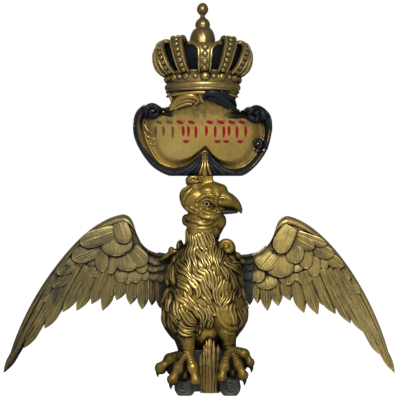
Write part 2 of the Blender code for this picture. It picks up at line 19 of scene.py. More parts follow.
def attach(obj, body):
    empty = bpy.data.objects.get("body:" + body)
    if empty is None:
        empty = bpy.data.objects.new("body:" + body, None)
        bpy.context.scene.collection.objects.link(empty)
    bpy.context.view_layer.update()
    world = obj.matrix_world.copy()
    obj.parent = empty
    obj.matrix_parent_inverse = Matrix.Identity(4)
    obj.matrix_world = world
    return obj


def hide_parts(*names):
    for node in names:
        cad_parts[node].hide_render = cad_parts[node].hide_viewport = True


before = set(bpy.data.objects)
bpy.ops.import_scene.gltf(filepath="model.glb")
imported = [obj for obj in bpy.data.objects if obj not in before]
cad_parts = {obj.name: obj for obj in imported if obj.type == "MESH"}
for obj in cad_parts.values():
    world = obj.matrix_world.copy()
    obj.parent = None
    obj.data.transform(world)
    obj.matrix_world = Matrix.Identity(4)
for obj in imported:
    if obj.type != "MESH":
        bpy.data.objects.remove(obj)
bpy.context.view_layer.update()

print("nodes:", sorted(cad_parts))

# %% [markdown]
# ## The view
#
# The photograph looks at the ornament squarely from the front, from far enough away that nothing
# is stretched. A long lens some metres away gives the same picture. The floor is a round sheet of
# pale paper in a white room, as in a photographer's studio, so no horizon line shows.

# %% Camera
VIEW_MIDDLE = Vector((0.0, 0.03, 0.4480))
VIEW_WIDTH = 0.92
DISTANCE = 9.0

eye = bpy.data.cameras.new("camera")
eye.sensor_fit = "HORIZONTAL"
eye.sensor_width = 36
eye.lens = 36 * DISTANCE / VIEW_WIDTH
eye.clip_end = 50
camera = bpy.data.objects.new("camera", eye)
camera.location = VIEW_MIDDLE - Vector((0, DISTANCE, 0))
camera.rotation_euler = (radians(90), 0, 0)
bpy.context.scene.collection.objects.link(camera)
bpy.context.scene.camera = camera
print("lens", round(eye.lens, 1), "mm")


# %% Floor and backdrop
def pick(*objects):
    """Selects these objects alone, and makes the first one active."""
    bpy.ops.object.select_all(action="DESELECT")
    for obj in objects:
        obj.select_set(True)
    bpy.context.view_layer.objects.active = objects[0]


def edit(obj):
    """Opens an object for editing, with everything in it selected."""
    pick(obj)
    bpy.ops.object.mode_set(mode="EDIT")
    bpy.ops.mesh.select_all(action="SELECT")


def leave():
    bpy.ops.object.mode_set(mode="OBJECT")


bpy.ops.mesh.primitive_circle_add(vertices=128, radius=14, location=(0, 0, 0), fill_type="NGON")
floor = bpy.context.object
floor.name = "studio_floor"
edit(floor)
bpy.ops.mesh.select_mode(type="FACE")
bpy.ops.mesh.inset(thickness=12)
bpy.ops.mesh.inset(thickness=1.2)
leave()
print("floor faces", len(floor.data.polygons))


# %% [markdown]
# ## Soft studio light
#
# Gilding shows its form by what it reflects, so the lights are large and few: one broad lamp in
# front and above gives the long soft highlights on the breast and the brow, a weaker one from the
# left fills the shadows, and the pale room does the rest. The room shows white to the camera but
# lights the object much less, so that the sides of the carving stay dark, as they are in reality.

# %% Lamps and room
def lamp(name, place, aim, size, power, colour=(1, 1, 1)):
    light = bpy.data.lights.new(name, "AREA")
    light.shape = "DISK"
    light.size = size
    light.energy = power
    light.color = colour
    made = bpy.data.objects.new(name, light)
    made.location = place
    made.rotation_euler = (Vector(aim) - Vector(place)).to_track_quat("-Z", "Y").to_euler()
    bpy.context.scene.collection.objects.link(made)


lamp("key_lamp", (0.10, -2.3, 1.95), (0.0, 0, 0.42), 0.8, 74, (1.0, 0.98, 0.93))
lamp("fill_lamp", (-1.9, -1.9, 0.9), (0, 0, 0.45), 1.2, 6, (0.93, 0.96, 1.0))
lamp("back_lamp", (-0.9, 2.6, 1.9), (0, 0, 0.4), 1.2, 14, (1, 1, 1))


def white_for_the_camera(tree, lights_with):
    """A strength that is full where the camera looks straight at the studio, and softer as a light."""
    sight = tree.nodes.new("ShaderNodeLightPath").outputs["Is Camera Ray"]
    strength = tree.nodes.new("ShaderNodeMapRange")
    strength.inputs["To Min"].default_value, strength.inputs["To Max"].default_value = lights_with
    tree.links.new(sight, strength.inputs["Value"])
    return strength.outputs["Result"]


room = bpy.data.worlds.new("room")
room.use_nodes = True
sky = room.node_tree.nodes["Background"]
sky.inputs["Color"].default_value = (1, 1, 1, 1)
room.node_tree.links.new(white_for_the_camera(room.node_tree, (0.20, 1.0)), sky.inputs["Strength"])
bpy.context.scene.world = room
bpy.context.scene.view_settings.view_transform = "Standard"

paper = bpy.data.materials.new("studio_paper")
paper.use_nodes = True
paper_shader = paper.node_tree.nodes["Principled BSDF"]
paper_shader.inputs["Base Color"].default_value = (0.8, 0.8, 0.8, 1)
paper_shader.inputs["Roughness"].default_value = 0.9
paper_shader.inputs["Emission Color"].default_value = (1, 1, 1, 1)
glow = white_for_the_camera(paper.node_tree, (0.0, 0.90))
paper.node_tree.links.new(glow, paper_shader.inputs["Emission Strength"])
floor.data.materials.append(paper)

# %% [markdown]
# ## Aged gilding
#
# Old gilding isn't one colour. Where hands and dusters rub, the ridges stay bright, and dirt and
# brown varnish collect in the hollows. Here the hollows, and surfaces turned from the light, also get
# painted shade, and some places get painted highlights. So every piece carries measured values at
# each of its points: how hollow it lies, with its painted shade, how much of an edge it is, with its
# painted highlights, and whether it belongs to a back that was never gilded. One node group turns
# them, with some cloudy noise, into colour, shine and a fine unevenness. A second group lays paint
# over that. Each finish uses them with its own colours.


# %% Node helpers
def add(tree, kind, **settings):
    made = tree.nodes.new(kind)
    for key, value in settings.items():
        setattr(made, key, value)
    return made


def fill(tree, socket, value):
    """Links an input to another node's output, or sets it to a number or a colour."""
    if isinstance(value, bpy.types.NodeSocket):
        tree.links.new(value, socket)
    else:
        socket.default_value = value


def maths(tree, operation, *values, clamp=False):
    made = add(tree, "ShaderNodeMath", operation=operation, use_clamp=clamp)
    for socket, value in zip(made.inputs, values):
        fill(tree, socket, value)
    return made.outputs[0]


def plus(tree, a, b, clamp=False):
    return maths(tree, "ADD", a, b, clamp=clamp)


def minus(tree, a, b, clamp=False):
    return maths(tree, "SUBTRACT", a, b, clamp=clamp)


def times(tree, a, b, clamp=False):
    return maths(tree, "MULTIPLY", a, b, clamp=clamp)


def blend_colours(tree, share, a, b):
    made = add(tree, "ShaderNodeMix", data_type="RGBA")
    for socket, value in ((made.inputs[0], share), (made.inputs[6], a), (made.inputs[7], b)):
        fill(tree, socket, value)
    return made.outputs[2]


def noise(tree, place, scale, detail=3.0, rough=0.55):
    made = add(tree, "ShaderNodeTexNoise")
    for name, value in (("Vector", place), ("Scale", scale), ("Detail", detail), ("Roughness", rough)):
        fill(tree, made.inputs[name], value)
    return made.outputs["Fac"]


def node_group(name, takes, gives):
    """An empty group whose inputs and outputs are named by kind. Returns it and both ends of it."""
    group = bpy.data.node_groups.new(name, "ShaderNodeTree")
    for in_out, sockets in (("INPUT", takes), ("OUTPUT", gives)):
        for kind, names in sockets.items():
            for socket in names.split():
                group.interface.new_socket(socket, in_out=in_out, socket_type=f"NodeSocket{kind}")
    return group, group.nodes.new("NodeGroupInput").outputs, group.nodes.new("NodeGroupOutput").inputs


def use(tree, group, **values):
    """A node that uses a group, with what goes into it. Returns what comes out."""
    made = add(tree, "ShaderNodeGroup", node_tree=group)
    for name, value in values.items():
        fill(tree, made.inputs[name], value)
    return made.outputs


# %% The aged gilding group
def aged_gilding():
    tree, put, end = node_group(
        "aged_gilding",
        {"Vector": "Place Grain", "Float": "Hollow Edge Grime", "Color": "Gold Worn Patina Dirt"},
        {"Color": "Colour", "Float": "Roughness Metal Height"},
    )
    clouds = noise(tree, put["Place"], 11, 3)
    blotches = noise(tree, put["Place"], 55, 4, 0.6)
    specks = noise(tree, put["Place"], 300, 2)
    streaks = noise(tree, put["Grain"], 1.0, 3, 0.6)

    # Patina lies in clouds, blotches and streaks over the gold
    cloudy = maths(tree, "MULTIPLY_ADD", clouds, 2.6, -0.85)
    patchy = maths(tree, "MULTIPLY_ADD", blotches, 1.5, -0.75)
    streaky = maths(tree, "MULTIPLY_ADD", streaks, 1.7, -0.85)
    broken = plus(tree, patchy, streaky)
    veil = plus(tree, times(tree, plus(tree, broken, cloudy), 0.72), put["Grime"], clamp=True)

    # Dirt and painted shade fill the hollows, with a ragged edge
    deep = maths(tree, "MULTIPLY_ADD", put["Hollow"], 2.1, -0.42)
    dirt_and_shade = plus(tree, deep, times(tree, broken, 0.30), clamp=True)

    # The ridges are rubbed bright, in broken strokes, and painted highlights are laid where the edge value
    # holds them
    worn_and_highlit = times(tree, put["Edge"], plus(tree, times(tree, specks, 0.6), 0.5))
    bright = minus(tree, worn_and_highlit, times(tree, dirt_and_shade, 0.8), clamp=True)

    colour = blend_colours(tree, veil, put["Gold"], put["Patina"])
    colour = blend_colours(tree, bright, colour, put["Worn"])
    fill(tree, end["Colour"], blend_colours(tree, dirt_and_shade, colour, put["Dirt"]))

    dull = plus(tree, times(tree, veil, 0.16), times(tree, dirt_and_shade, 0.22))
    rough = plus(tree, minus(tree, dull, times(tree, bright, 0.10)), 0.31)
    fill(tree, end["Roughness"], plus(tree, rough, times(tree, specks, 0.06)))
    metal = minus(tree, 0.88, times(tree, dirt_and_shade, 0.55))
    fill(tree, end["Metal"], minus(tree, metal, times(tree, veil, 0.22), clamp=True))
    uneven = plus(tree, times(tree, streaks, 0.8), times(tree, blotches, 0.6))
    fill(tree, end["Height"], plus(tree, uneven, times(tree, specks, 0.22)))
    return tree


AGED = aged_gilding()
print("aged gilding:", len(AGED.nodes), "nodes")


# %% The paint group
def srgb(red, green, blue):
    """A colour as the eye reads it, 0 to 255, in the linear values that a shader wants."""
    made = []
    for value in (red, green, blue):
        value /= 255
        made.append(value / 12.92 if value <= 0.04045 else ((value + 0.055) / 1.055) ** 2.4)
    return (*made, 1)


def painted_over():
    """Paint over the gilding where the mark says so, chipped, and worn through on ridges."""
    tree, put, end = node_group(
        "painted_over",
        {"Vector": "Place", "Color": "Colour Paint", "Float": "Roughness Metal Mark Hollow Edge Wear"},
        {"Color": "Colour", "Float": "Roughness Metal"},
    )
    chips = noise(tree, put["Place"], 130, 4, 0.65)
    flecks = noise(tree, put["Place"], 420, 2)
    ragged = times(tree, minus(tree, chips, 0.5), 1.5)
    cover = times(tree, put["Mark"], plus(tree, ragged, 1.0))
    worn = times(tree, times(tree, put["Edge"], chips), put["Wear"])
    cover = minus(tree, cover, times(tree, worn, 2.4))
    sharp = maths(tree, "MULTIPLY_ADD", cover, 5.0, -1.9, clamp=True)
    lighter = blend_colours(tree, times(tree, flecks, 0.28), put["Paint"], srgb(40, 44, 50))
    # Paint goes darker in the hollows: settled dirt and painted shade
    settled_dirt_and_shade = times(tree, put["Hollow"], 0.7, clamp=True)
    paint_with_dirt_and_shade = blend_colours(tree, settled_dirt_and_shade, lighter, srgb(12, 11, 10))
    fill(tree, end["Colour"], blend_colours(tree, sharp, put["Colour"], paint_with_dirt_and_shade))
    gloss = maths(tree, "MULTIPLY_ADD", flecks, 0.35, 0.28)
    matt = times(tree, sharp, minus(tree, gloss, put["Roughness"]))
    fill(tree, end["Roughness"], plus(tree, put["Roughness"], matt))
    fill(tree, end["Metal"], times(tree, put["Metal"], minus(tree, 1.0, sharp)))
    return tree


PAINTED = painted_over()
print("paint:", len(PAINTED.nodes), "nodes")


# %% Finishes
def reading(tree, name):
    """A measured value that the piece carries at each point."""
    return add(tree, "ShaderNodeAttribute", attribute_name=name).outputs["Fac"]


def gilded(name, gold, worn, patina, dirt, grime=0.0, grained=False, bump=0.5, paint=None, wear=1.0,
           metal=1.0, stretch=(260, 260, 38), sheen=0.4):
    """A finish of aged gilding, with paint over it where the piece is marked as painted."""
    made = bpy.data.materials.new(name)
    made.use_nodes = True
    tree = made.node_tree
    shader = tree.nodes["Principled BSDF"].inputs
    place = add(tree, "ShaderNodeTexCoord").outputs["Object"]
    mapping = add(tree, "ShaderNodeMapping")
    if grained:
        grain = add(tree, "ShaderNodeAttribute", attribute_name="grain").outputs["Vector"]
        stretch = (330, 30, 1)
    else:
        grain = place
    fill(tree, mapping.inputs["Vector"], grain)
    fill(tree, mapping.inputs["Scale"], stretch)
    # The hollow value carries dirt and painted shade, the edge value wear and painted highlights
    hollow, edge = reading(tree, "hollow"), reading(tree, "edge")
    aged = use(
        tree, AGED, Place=place, Grain=mapping.outputs[0], Hollow=hollow, Edge=edge, Grime=grime,
        Gold=srgb(*gold), Worn=srgb(*worn), Patina=srgb(*patina), Dirt=srgb(*dirt),
    )
    last = aged
    if paint:
        last = use(
            tree, PAINTED, Place=place, Mark=reading(tree, "paint"), Hollow=hollow, Edge=edge, Wear=wear,
            Paint=srgb(*paint), Colour=aged["Colour"], Roughness=aged["Roughness"], Metal=aged["Metal"],
        )
    # The backs were never gilded: there the wood shows
    bare = reading(tree, "bare")
    wood = blend_colours(tree, aged["Height"], srgb(66, 48, 31), srgb(124, 97, 64))
    fill(tree, shader["Base Color"], blend_colours(tree, bare, last["Colour"], wood))
    fill(tree, shader["Roughness"], last["Roughness"])
    if metal:
        gilt = times(tree, last["Metal"], minus(tree, 1.0, bare))
        fill(tree, shader["Metallic"], times(tree, gilt, metal))
    rise = add(tree, "ShaderNodeBump")
    for socket, value in (("Strength", bump), ("Distance", 0.0007), ("Height", aged["Height"])):
        fill(tree, rise.inputs[socket], value)
    fill(tree, shader["Normal"], rise.outputs[0])
    fill(tree, shader["Specular IOR Level"], sheen)
    return made


# Gold, worn gold that also gives the painted highlights, patina, and the dark of dirt and painted shade of
# each finish, as the eye reads them
DIRT_AND_SHADE = (30, 24, 13)
GOLD = ((166, 138, 68), (232, 212, 142), (96, 79, 38), DIRT_AND_SHADE)
BLUE_BLACK = (17, 20, 30)
finishes = {
    "eagle": gilded("eagle_gilding", *GOLD, grime=0.06, paint=(1, 1, 1), wear=0.0, sheen=0.07),
    "locks": gilded("lock_gilding", (194, 165, 90), *GOLD[1:], grime=0.02, grained=True, sheen=0.15),
    "tail": gilded("tail_gilding", (138, 112, 60), (206, 182, 112), (86, 70, 40), DIRT_AND_SHADE, grime=0.12),
    # Painted shade: the left wing's finish is a darker, greyer copy of the right wing's gilding
    "left_wing": gilded(
        "left_wing_gilding", (131, 115, 70), (204, 184, 124), (62, 61, 48), (28, 23, 15),
        grime=0.16, grained=True, metal=0.75, bump=0.8, sheen=0.2,
    ),
    "right_wing": gilded(
        "right_wing_gilding", (162, 141, 82), (240, 220, 152), (68, 63, 44), (30, 24, 14),
        grime=0.10, grained=True, metal=0.8, bump=0.8, sheen=0.2,
    ),
    "left_root": gilded(
        "left_root_gilding", (126, 106, 60), (204, 182, 118), (72, 62, 38), DIRT_AND_SHADE,
        grime=0.1, grained=True,
    ),
    # Painted shade: a dark grey-green copy of the gilding on the right wing root
    "right_root": gilded(
        "right_root_gilding_in_painted_shade", (70, 68, 48), (128, 118, 80), (44, 48, 40), (22, 22, 18),
        grime=0.35, grained=True, metal=0.5,
    ),
    "horn": gilded(
        "horn_paint", (52, 42, 28), (120, 100, 62), (34, 28, 20), (14, 12, 9),
        grime=0.3, metal=0.4,
    ),
    "plinth": gilded(
        "plinth_paint", (76, 82, 70), (132, 124, 92), (56, 62, 54), (24, 24, 20),
        grime=0.1, metal=0.15,
    ),
    "shield": gilded(
        "cartouche_gilding", (166, 138, 74), (226, 198, 128), (112, 96, 56), DIRT_AND_SHADE,
        grime=0.08, paint=BLUE_BLACK, stretch=(110, 110, 80), sheen=0.18,
    ),
    "olive": gilded(
        "olive_stroke_paint", (68, 60, 38), (110, 96, 58), (52, 46, 30), DIRT_AND_SHADE,
        metal=0.0, sheen=0.1,
    ),
    "red": gilded(
        "red_stroke_paint", (116, 6, 20), (140, 30, 30), (84, 10, 18), (50, 12, 12),
        metal=0.0, sheen=0.1,
    ),
    "crown": gilded(
        "crown_gilding", (150, 130, 80), (216, 196, 136), (94, 82, 56), DIRT_AND_SHADE,
        grime=0.10, paint=(3, 3, 4), wear=0.3, sheen=0.06,
    ),
    "finial": gilded(
        "finial_gilding", (140, 119, 76), (200, 180, 124), (74, 62, 44), DIRT_AND_SHADE,
        grime=0.18, stretch=(240, 240, 26),
    ),
}
print("finishes:", sorted(finishes))


# %% [markdown]
# ## Shared tools of the carver
#
# Most parts grow from a few moves: a smooth line through some points, a skin over a row of rings,
# and a rope of changing thickness. They are written once here. A part made of many shapes is
# gathered in a pile, which then becomes one mesh.


# %% Lines, ropes and piles
# Rays that find what the front view sees start here and go straight back
VIEW_FROM_Y, STRAIGHT_BACK = -0.4, Vector((0, 1, 0))


def smooth_line(points, count):
    """An evenly spaced smooth line through points. Extra columns, such as a radius, come along."""
    p = np.array(points, float)
    p = np.vstack([2 * p[0] - p[1], p, 2 * p[-1] - p[-2]])
    t = np.linspace(0, 1, 20, endpoint=False)[:, None]
    parts = []
    for a, b, c, d in zip(p, p[1:], p[2:], p[3:]):
        square, cubic = 2 * a - 5 * b + 4 * c - d, 3 * b - a - 3 * c + d
        parts.append(0.5 * (2 * b + (c - a) * t + square * t**2 + cubic * t**3))
    dense = np.vstack(parts + [p[-2:-1]])
    run = run_along(dense[:, :3])
    want = np.linspace(0, run[-1], count)
    return np.column_stack([np.interp(want, run, column) for column in dense.T])


def ramp(value, start, length):
    """Nothing up to a start, everything from a length beyond it on, and an even rise between."""
    return np.clip((value - start) / length, 0, 1)


def run_along(path):
    """How far along a path each of its points lies."""
    return np.concatenate([[0], np.cumsum(np.linalg.norm(np.diff(path, axis=0), axis=1))])


def unit(vectors):
    return vectors / np.maximum(np.linalg.norm(vectors, axis=-1, keepdims=True), 1e-12)


def skin_faces(rings, points):
    """Faces of a skin over rings of points, with a fan to one extra point at each end."""
    faces = []
    for r in range(rings - 1):
        for i in range(points):
            j = (i + 1) % points
            faces.append((r * points + i, r * points + j, (r + 1) * points + j, (r + 1) * points + i))
    first, last = rings * points, rings * points + 1
    for i in range(points):
        j = (i + 1) % points
        faces.append((j, i, first))
        faces.append(((rings - 1) * points + i, (rings - 1) * points + j, last))
    return faces


FACES_KEPT = {}


class Pile:
    """Shapes that become one mesh, with a value at every point for the grain of the surface."""

    def __init__(self):
        self.points, self.faces, self.grain, self.count = [], [], [], 0

    def skin(self, rings, grain=None):
        """Adds a closed skin over an array of rings, counted (ring, point, xyz)."""
        rings = np.asarray(rings)
        grain = np.zeros(rings.shape) if grain is None else grain
        size = rings.shape[:2]
        if size not in FACES_KEPT:
            FACES_KEPT[size] = skin_faces(*size)
        for kept, rows in ((self.points, rings), (self.grain, grain)):
            kept.append(np.vstack([rows.reshape(-1, 3), rows[0].mean(0), rows[-1].mean(0)]))
        self.faces += [tuple(self.count + i for i in face) for face in FACES_KEPT[size]]
        self.count += len(self.points[-1])

    def piece(self, name):
        """All the shapes as one object."""
        mesh = bpy.data.meshes.new(name)
        mesh.from_pydata(np.vstack(self.points).tolist(), [], self.faces)
        values = mesh.attributes.new("grain", "FLOAT_VECTOR", "POINT")
        values.data.foreach_set("vector", np.vstack(self.grain).astype(np.float32).ravel())
        made = bpy.data.objects.new(name, mesh)
        bpy.context.scene.collection.objects.link(made)
        sizes = [len(points) for points in self.points]
        return outward(made, np.repeat(np.arange(len(sizes)), sizes))


def read_rows(items, name, width, kind=np.float32):
    """A property of all points, edges or triangles of a mesh, as an array with a row for each."""
    rows = np.empty(len(items) * width, kind)
    items.foreach_get(name, rows)
    return rows.reshape(-1, width)


def outward(obj, shape_of):
    """Turns every closed shape in an object right side out, given the number of each point's shape."""
    edit(obj)
    bpy.ops.mesh.normals_make_consistent(inside=False)
    leave()
    # A thin bent shape can still be inside out: then it holds less than nothing
    obj.data.calc_loop_triangles()
    corners = read_rows(obj.data.loop_triangles, "vertices", 3, np.int32)
    points = read_rows(obj.data.vertices, "co", 3, np.float64)
    a, b, c = points[corners].transpose(1, 0, 2)
    held = np.bincount(shape_of[corners[:, 0]], (a * np.cross(b, c)).sum(1))
    if (held < 0).any():
        shape = bmesh.new()
        shape.from_mesh(obj.data)
        turned_in = [face for face in shape.faces if held[shape_of[face.verts[0].index]] < 0]
        bmesh.ops.reverse_faces(shape, faces=turned_in)
        shape.to_mesh(obj.data)
        shape.free()
    return obj


def rope_rings(stations, sides=12, count=None, rings_per_metre=0, flat=1.0):
    """Rings round a line of (x, y, z, radius), with rounded ends. Rings of scales can stand out of it."""
    line = smooth_line(stations, count or 3 * len(stations))
    path, radius = line[:, :3], line[:, 3]
    along = unit(np.gradient(path, axis=0))
    side = np.cross(along[0], (0.31, 0.11, 0.94))
    sides_of = []
    for way in along:
        side = unit(side - way * side.dot(way))
        sides_of.append(side)
    side = np.array(sides_of)
    up = np.cross(along, side)
    if rings_per_metre:
        run = run_along(path)
        scaled = np.clip(1 - (run / run[-1] - 0.45) / 0.08, 0, 1)
        radius = radius * (1 + scaled * (0.17 * np.abs(np.sin(pi * run * rings_per_metre)) - 0.10))

    def rounded(i, way, shares):
        """Rings beyond an end, which shrink as the rings of a ball do."""
        rings = []
        for share in shares:
            middle = path[i] + way * along[i] * radius[i] * share
            rings.append((middle, radius[i] * (1 - share**2) ** 0.5, side[i], up[i]))
        return rings

    rings = rounded(0, -1, (0.95, 0.75, 0.35)) + list(zip(path, radius, side, up))
    rings += rounded(-1, 1, (0.35, 0.75, 0.95))
    middle, reach, side, up = (np.array(column)[:, None] for column in zip(*rings))
    angle = np.linspace(0, 2 * pi, sides, endpoint=False)
    c, s = np.cos(angle)[None, :, None], np.sin(angle)[None, :, None]
    return middle + reach[..., None] * (side * c + up * s * flat)


print("tools ready")


# %% [markdown]
# ## The wings
#
# A wing is a flat board. Along its top runs a thick rounded pad, under it lie rows of short round
# feathers, and from under these grow the long flight feathers, side by side like slates. A carver
# draws every feather on the board and then sinks the ground round it. Here each feather is a
# closed blade that is drawn on the flat board: a line from root to tip, a width that swells and
# narrows, a quill and furrows along it. The blades overlap, and the board is bowed forward at the
# end. The feathers of the photograph aren't regular, so their places are written down one by one.

# %% The board
# In metres, from the middle of the bird: the seams, the wrists and the tips
MIDDLE_X = 0.012
SEAM_OUT = {-1: 0.1305, 1: 0.110}
STUB_OUT, WRIST_OUT, TIP_OUT = 0.070, 0.192, 0.4345
LEFT_STRETCH = 1.112
WING_BACK_Y, WING_BOW = 0.062, 0.014
# The seams slant a little, and pieces that touch stay this far apart
SEAM_Y, SLANT = 0.045, 0.03
GAP = 0.0003


def on_board(side, spots, height):
    """Points of a wing from distance out, height up and height above the board's back, all arrays."""
    out, up = spots[..., 0], spots[..., 1]
    reach = ramp(out, STUB_OUT, TIP_OUT * (LEFT_STRETCH if side < 0 else 1) - STUB_OUT)
    y = WING_BACK_Y - height - WING_BOW * np.sin(pi * reach)
    return np.stack([MIDDLE_X + side * out, np.broadcast_to(y, out.shape), up], axis=-1)


def stretched(side, spots):
    """The left wing reaches further beyond its wrist, and arches a little higher."""
    spots = np.array(spots, float)
    if side < 0:
        spots[..., 1] += 0.005 * np.sin(pi * ramp(spots[..., 0], 0.130, 0.200))
        spots[..., 0] += np.maximum(0, spots[..., 0] - WRIST_OUT) * (LEFT_STRETCH - 1)
    return spots


def bezier(corners, t):
    a, b, c, d = (np.array(corner) for corner in corners)
    t = np.asarray(t, float)[..., None]
    return a * (1 - t) ** 3 + b * 3 * (1 - t) ** 2 * t + c * 3 * (1 - t) * t**2 + d * t**3


def furrow(phase, narrow=3):
    """A narrow cut at every whole number of the phase."""
    return (1 - np.abs(np.sin(pi * phase))) ** narrow


# %% One feather
# Metres between the points along a feather and across it
ROW_STEP, COLUMN_STEP = 0.0034, 0.0009


def feather(pile, side, root, tip, width, face, kind, seed, back=0.0, root_rise=0.0):
    """A closed blade from root to tip. Kinds: flight, long and pointed, and covert, short and round."""
    dice = np.random.default_rng(seed)
    root, tip = np.array(root), np.array(tip)
    length = np.linalg.norm(tip - root)
    along = (tip - root) / length
    across = np.array((-along[1], along[0]))
    rows = int(np.clip(length / ROW_STEP, 12, 46))
    columns = int(np.clip(width / COLUMN_STEP, 18, 44))
    v = (1 - (1 - np.linspace(0, 1, rows)) ** 1.25)[:, None]
    s = np.linspace(-1, 1, columns)[None, :]
    if kind == "flight":
        taper = max(0.10, min(0.34, 0.036 / length))
        half = width / 2 * (0.92 + 0.08 * np.minimum(1, v / 0.35))
        half = half * (1 - np.clip((v - 1 + taper) / taper, 0, 1) ** 1.7) ** 0.9
        half = np.maximum(half, 0.0006)
        bend = (0.12 + 0.10 * dice.random()) * width * ramp(v, 0.5, 0.5) ** 2
        quill = 0.0012 * np.exp(-(((s - 0.05) / 0.10) ** 2)) * (1 - 0.6 * v)
        lines = furrow(s * 1.5 + 0.20 * np.sin(v * 5 + seed) + 0.06 * np.sin(v * 19 + seed), 3) * 0.0013
        tilt = -0.0022 * s * side
        swell = 0.0026 * (1 - np.abs(s) ** 3)
        lift = 0.0008 * v + root_rise * (1 - v) ** 2
    else:
        half = width / 2 * (0.80 + 0.20 * np.sin(np.minimum(1, v / 0.62) * pi / 2))
        half = half * np.sqrt(np.clip(1 - ramp(v, 0.60, 0.40) ** 2.3, 0, 1))
        half = np.maximum(half, 0.0007)
        bend = (dice.random() - 0.5) * 0.10 * width * v**2
        quill = 0.0004 * np.exp(-((s / 0.08) ** 2))
        strands = 2.5 if width < 0.03 else 4.5
        lines = furrow(s * strands * (0.8 + 0.2 * v) + 0.5 + 0.25 * np.sin(v * 3 + seed), 3)
        lines = lines * 0.0005 * ramp(v, 0.05, 0.25) * (0.4 + 0.6 * dice.random())
        tilt = (0.5 + dice.random()) * 0.0011 * s * side
        swell = 0.0012 * (1 - np.abs(s) ** 4)
        lift = 0.0030 - 0.0075 * (1 - v) ** 1.2 - 0.0008 * ramp(v, 0.90, 0.10) ** 2
    centre = root + (tip - root) * v + across * bend
    flat = centre[:, None, :] + across * (s * half)[..., None]
    height = face - 0.0030 + lift + swell + quill - lines + tilt
    height = height - 0.0008 * ramp(v, 0.9, 0.1)
    top = on_board(side, flat, height)
    low = on_board(side, flat[:, [-1, 0]], np.full((rows, 2), back))
    rings = np.concatenate([top, low], axis=1)
    grain = np.zeros((rows, columns + 2, 3))
    grain[..., :columns, 0] = s * half
    grain[..., 1] = v * length
    grain[..., 2] = seed
    pile.skin(rings, grain)


# %% The pad along the top edge
SHOULDER_EDGE = ((0.060, 0.322), (0.195, 0.315), (0.138, 0.412), (WRIST_OUT, 0.411))
LEADING_EDGE = ((WRIST_OUT, 0.411), (0.288, 0.389), (0.403, 0.212), (TIP_OUT, 0.050))
SHOULDER_INSIDE = ((0.060, 0.300), (0.118, 0.298), (0.150, 0.318), (0.178, 0.350))
LEADING_INSIDE = ((0.178, 0.350), (0.262, 0.360), (0.325, 0.252), (0.426, 0.060))
PAD_ROWS, PAD_COLUMNS = 96, 40
FLIGHT_ROOTS = ((0.086, 0.270), (0.210, 0.275), (0.270, 0.300), (0.316, 0.290))


def pad(pile, side):
    """The rounded top of the wing: a rim that rolls over, and a slope with long strokes inside it."""
    shares = np.linspace(0, 1, PAD_ROWS)
    split = 0.4
    on_shoulder = shares < split
    t1 = 1 - (1 - np.clip(shares / split, 0, 1)) ** 1.4
    t2 = ramp(shares, split, 1 - split) ** 1.3
    outer = np.where(on_shoulder[:, None], bezier(SHOULDER_EDGE, t1), bezier(LEADING_EDGE, t2))
    inner = np.where(on_shoulder[:, None], bezier(SHOULDER_INSIDE, t1), bezier(LEADING_INSIDE, t2))
    crown = (0.032 - 0.018 * shares)[:, None]
    foot = (0.0175 - 0.006 * shares)[:, None]
    reach = np.linspace(0, 1, PAD_COLUMNS)[None, :] ** 1.3
    rise = np.sqrt(np.clip(1 - (1 - np.clip(reach / 0.24, 0, 1)) ** 2, 0, 1))
    slope = ramp(reach, 0.24, 0.76) ** 0.62
    height = crown * (0.30 + 0.70 * rise) * (1 - slope) + foot * slope
    strokes = furrow(reach * 9 + 0.25 * np.sin(shares[:, None] * 21) + 0.3, 4)
    height = height - 0.0011 * strokes * ramp(shares[:, None], 0.42, 0.1) * (reach > 0.2)
    groove = np.exp(-(((reach - 0.34) / 0.028) ** 2))
    height = height - 0.0022 * groove * ramp(shares[:, None], 0.12, 0.1)
    spots = outer[:, None] + (inner - outer)[:, None] * reach[..., None]
    spots = stretched(side, spots)
    top = on_board(side, spots, height)
    low = on_board(side, spots[:, [-1, 0]], np.full((PAD_ROWS, 2), 0.0004))
    grain = np.zeros((PAD_ROWS, PAD_COLUMNS + 2, 3))
    grain[:, :PAD_COLUMNS, 0] = reach * 0.08
    grain[..., 1] = shares[:, None] * 0.45
    pile.skin(np.concatenate([top, low], axis=1), grain)


# %% Where the feathers lie
# Tips of the flight feathers from the body outward: distance out and height up
FLIGHT_TIPS = {
    -1: (
        (0.080, 0.203), (0.1015, 0.200), (0.118, 0.205), (0.142, 0.195), (0.168, 0.204), (0.197, 0.212),
        (0.227, 0.187), (0.250, 0.202), (0.282, 0.188), (0.311, 0.186), (0.349, 0.150), (0.392, 0.105),
        (TIP_OUT, 0.048),
    ),
    1: (
        (0.078, 0.204), (0.099, 0.206), (0.117, 0.210), (0.138, 0.193), (0.164, 0.204), (0.190, 0.216),
        (0.222, 0.187), (0.254, 0.183), (0.294, 0.183), (0.331, 0.162), (0.365, 0.139), (0.404, 0.085),
        (TIP_OUT, 0.048),
    ),
}
# Widths of the last four, which lie close together
OUTER_WIDTHS = (0.0250, 0.0250, 0.0235, 0.0205)
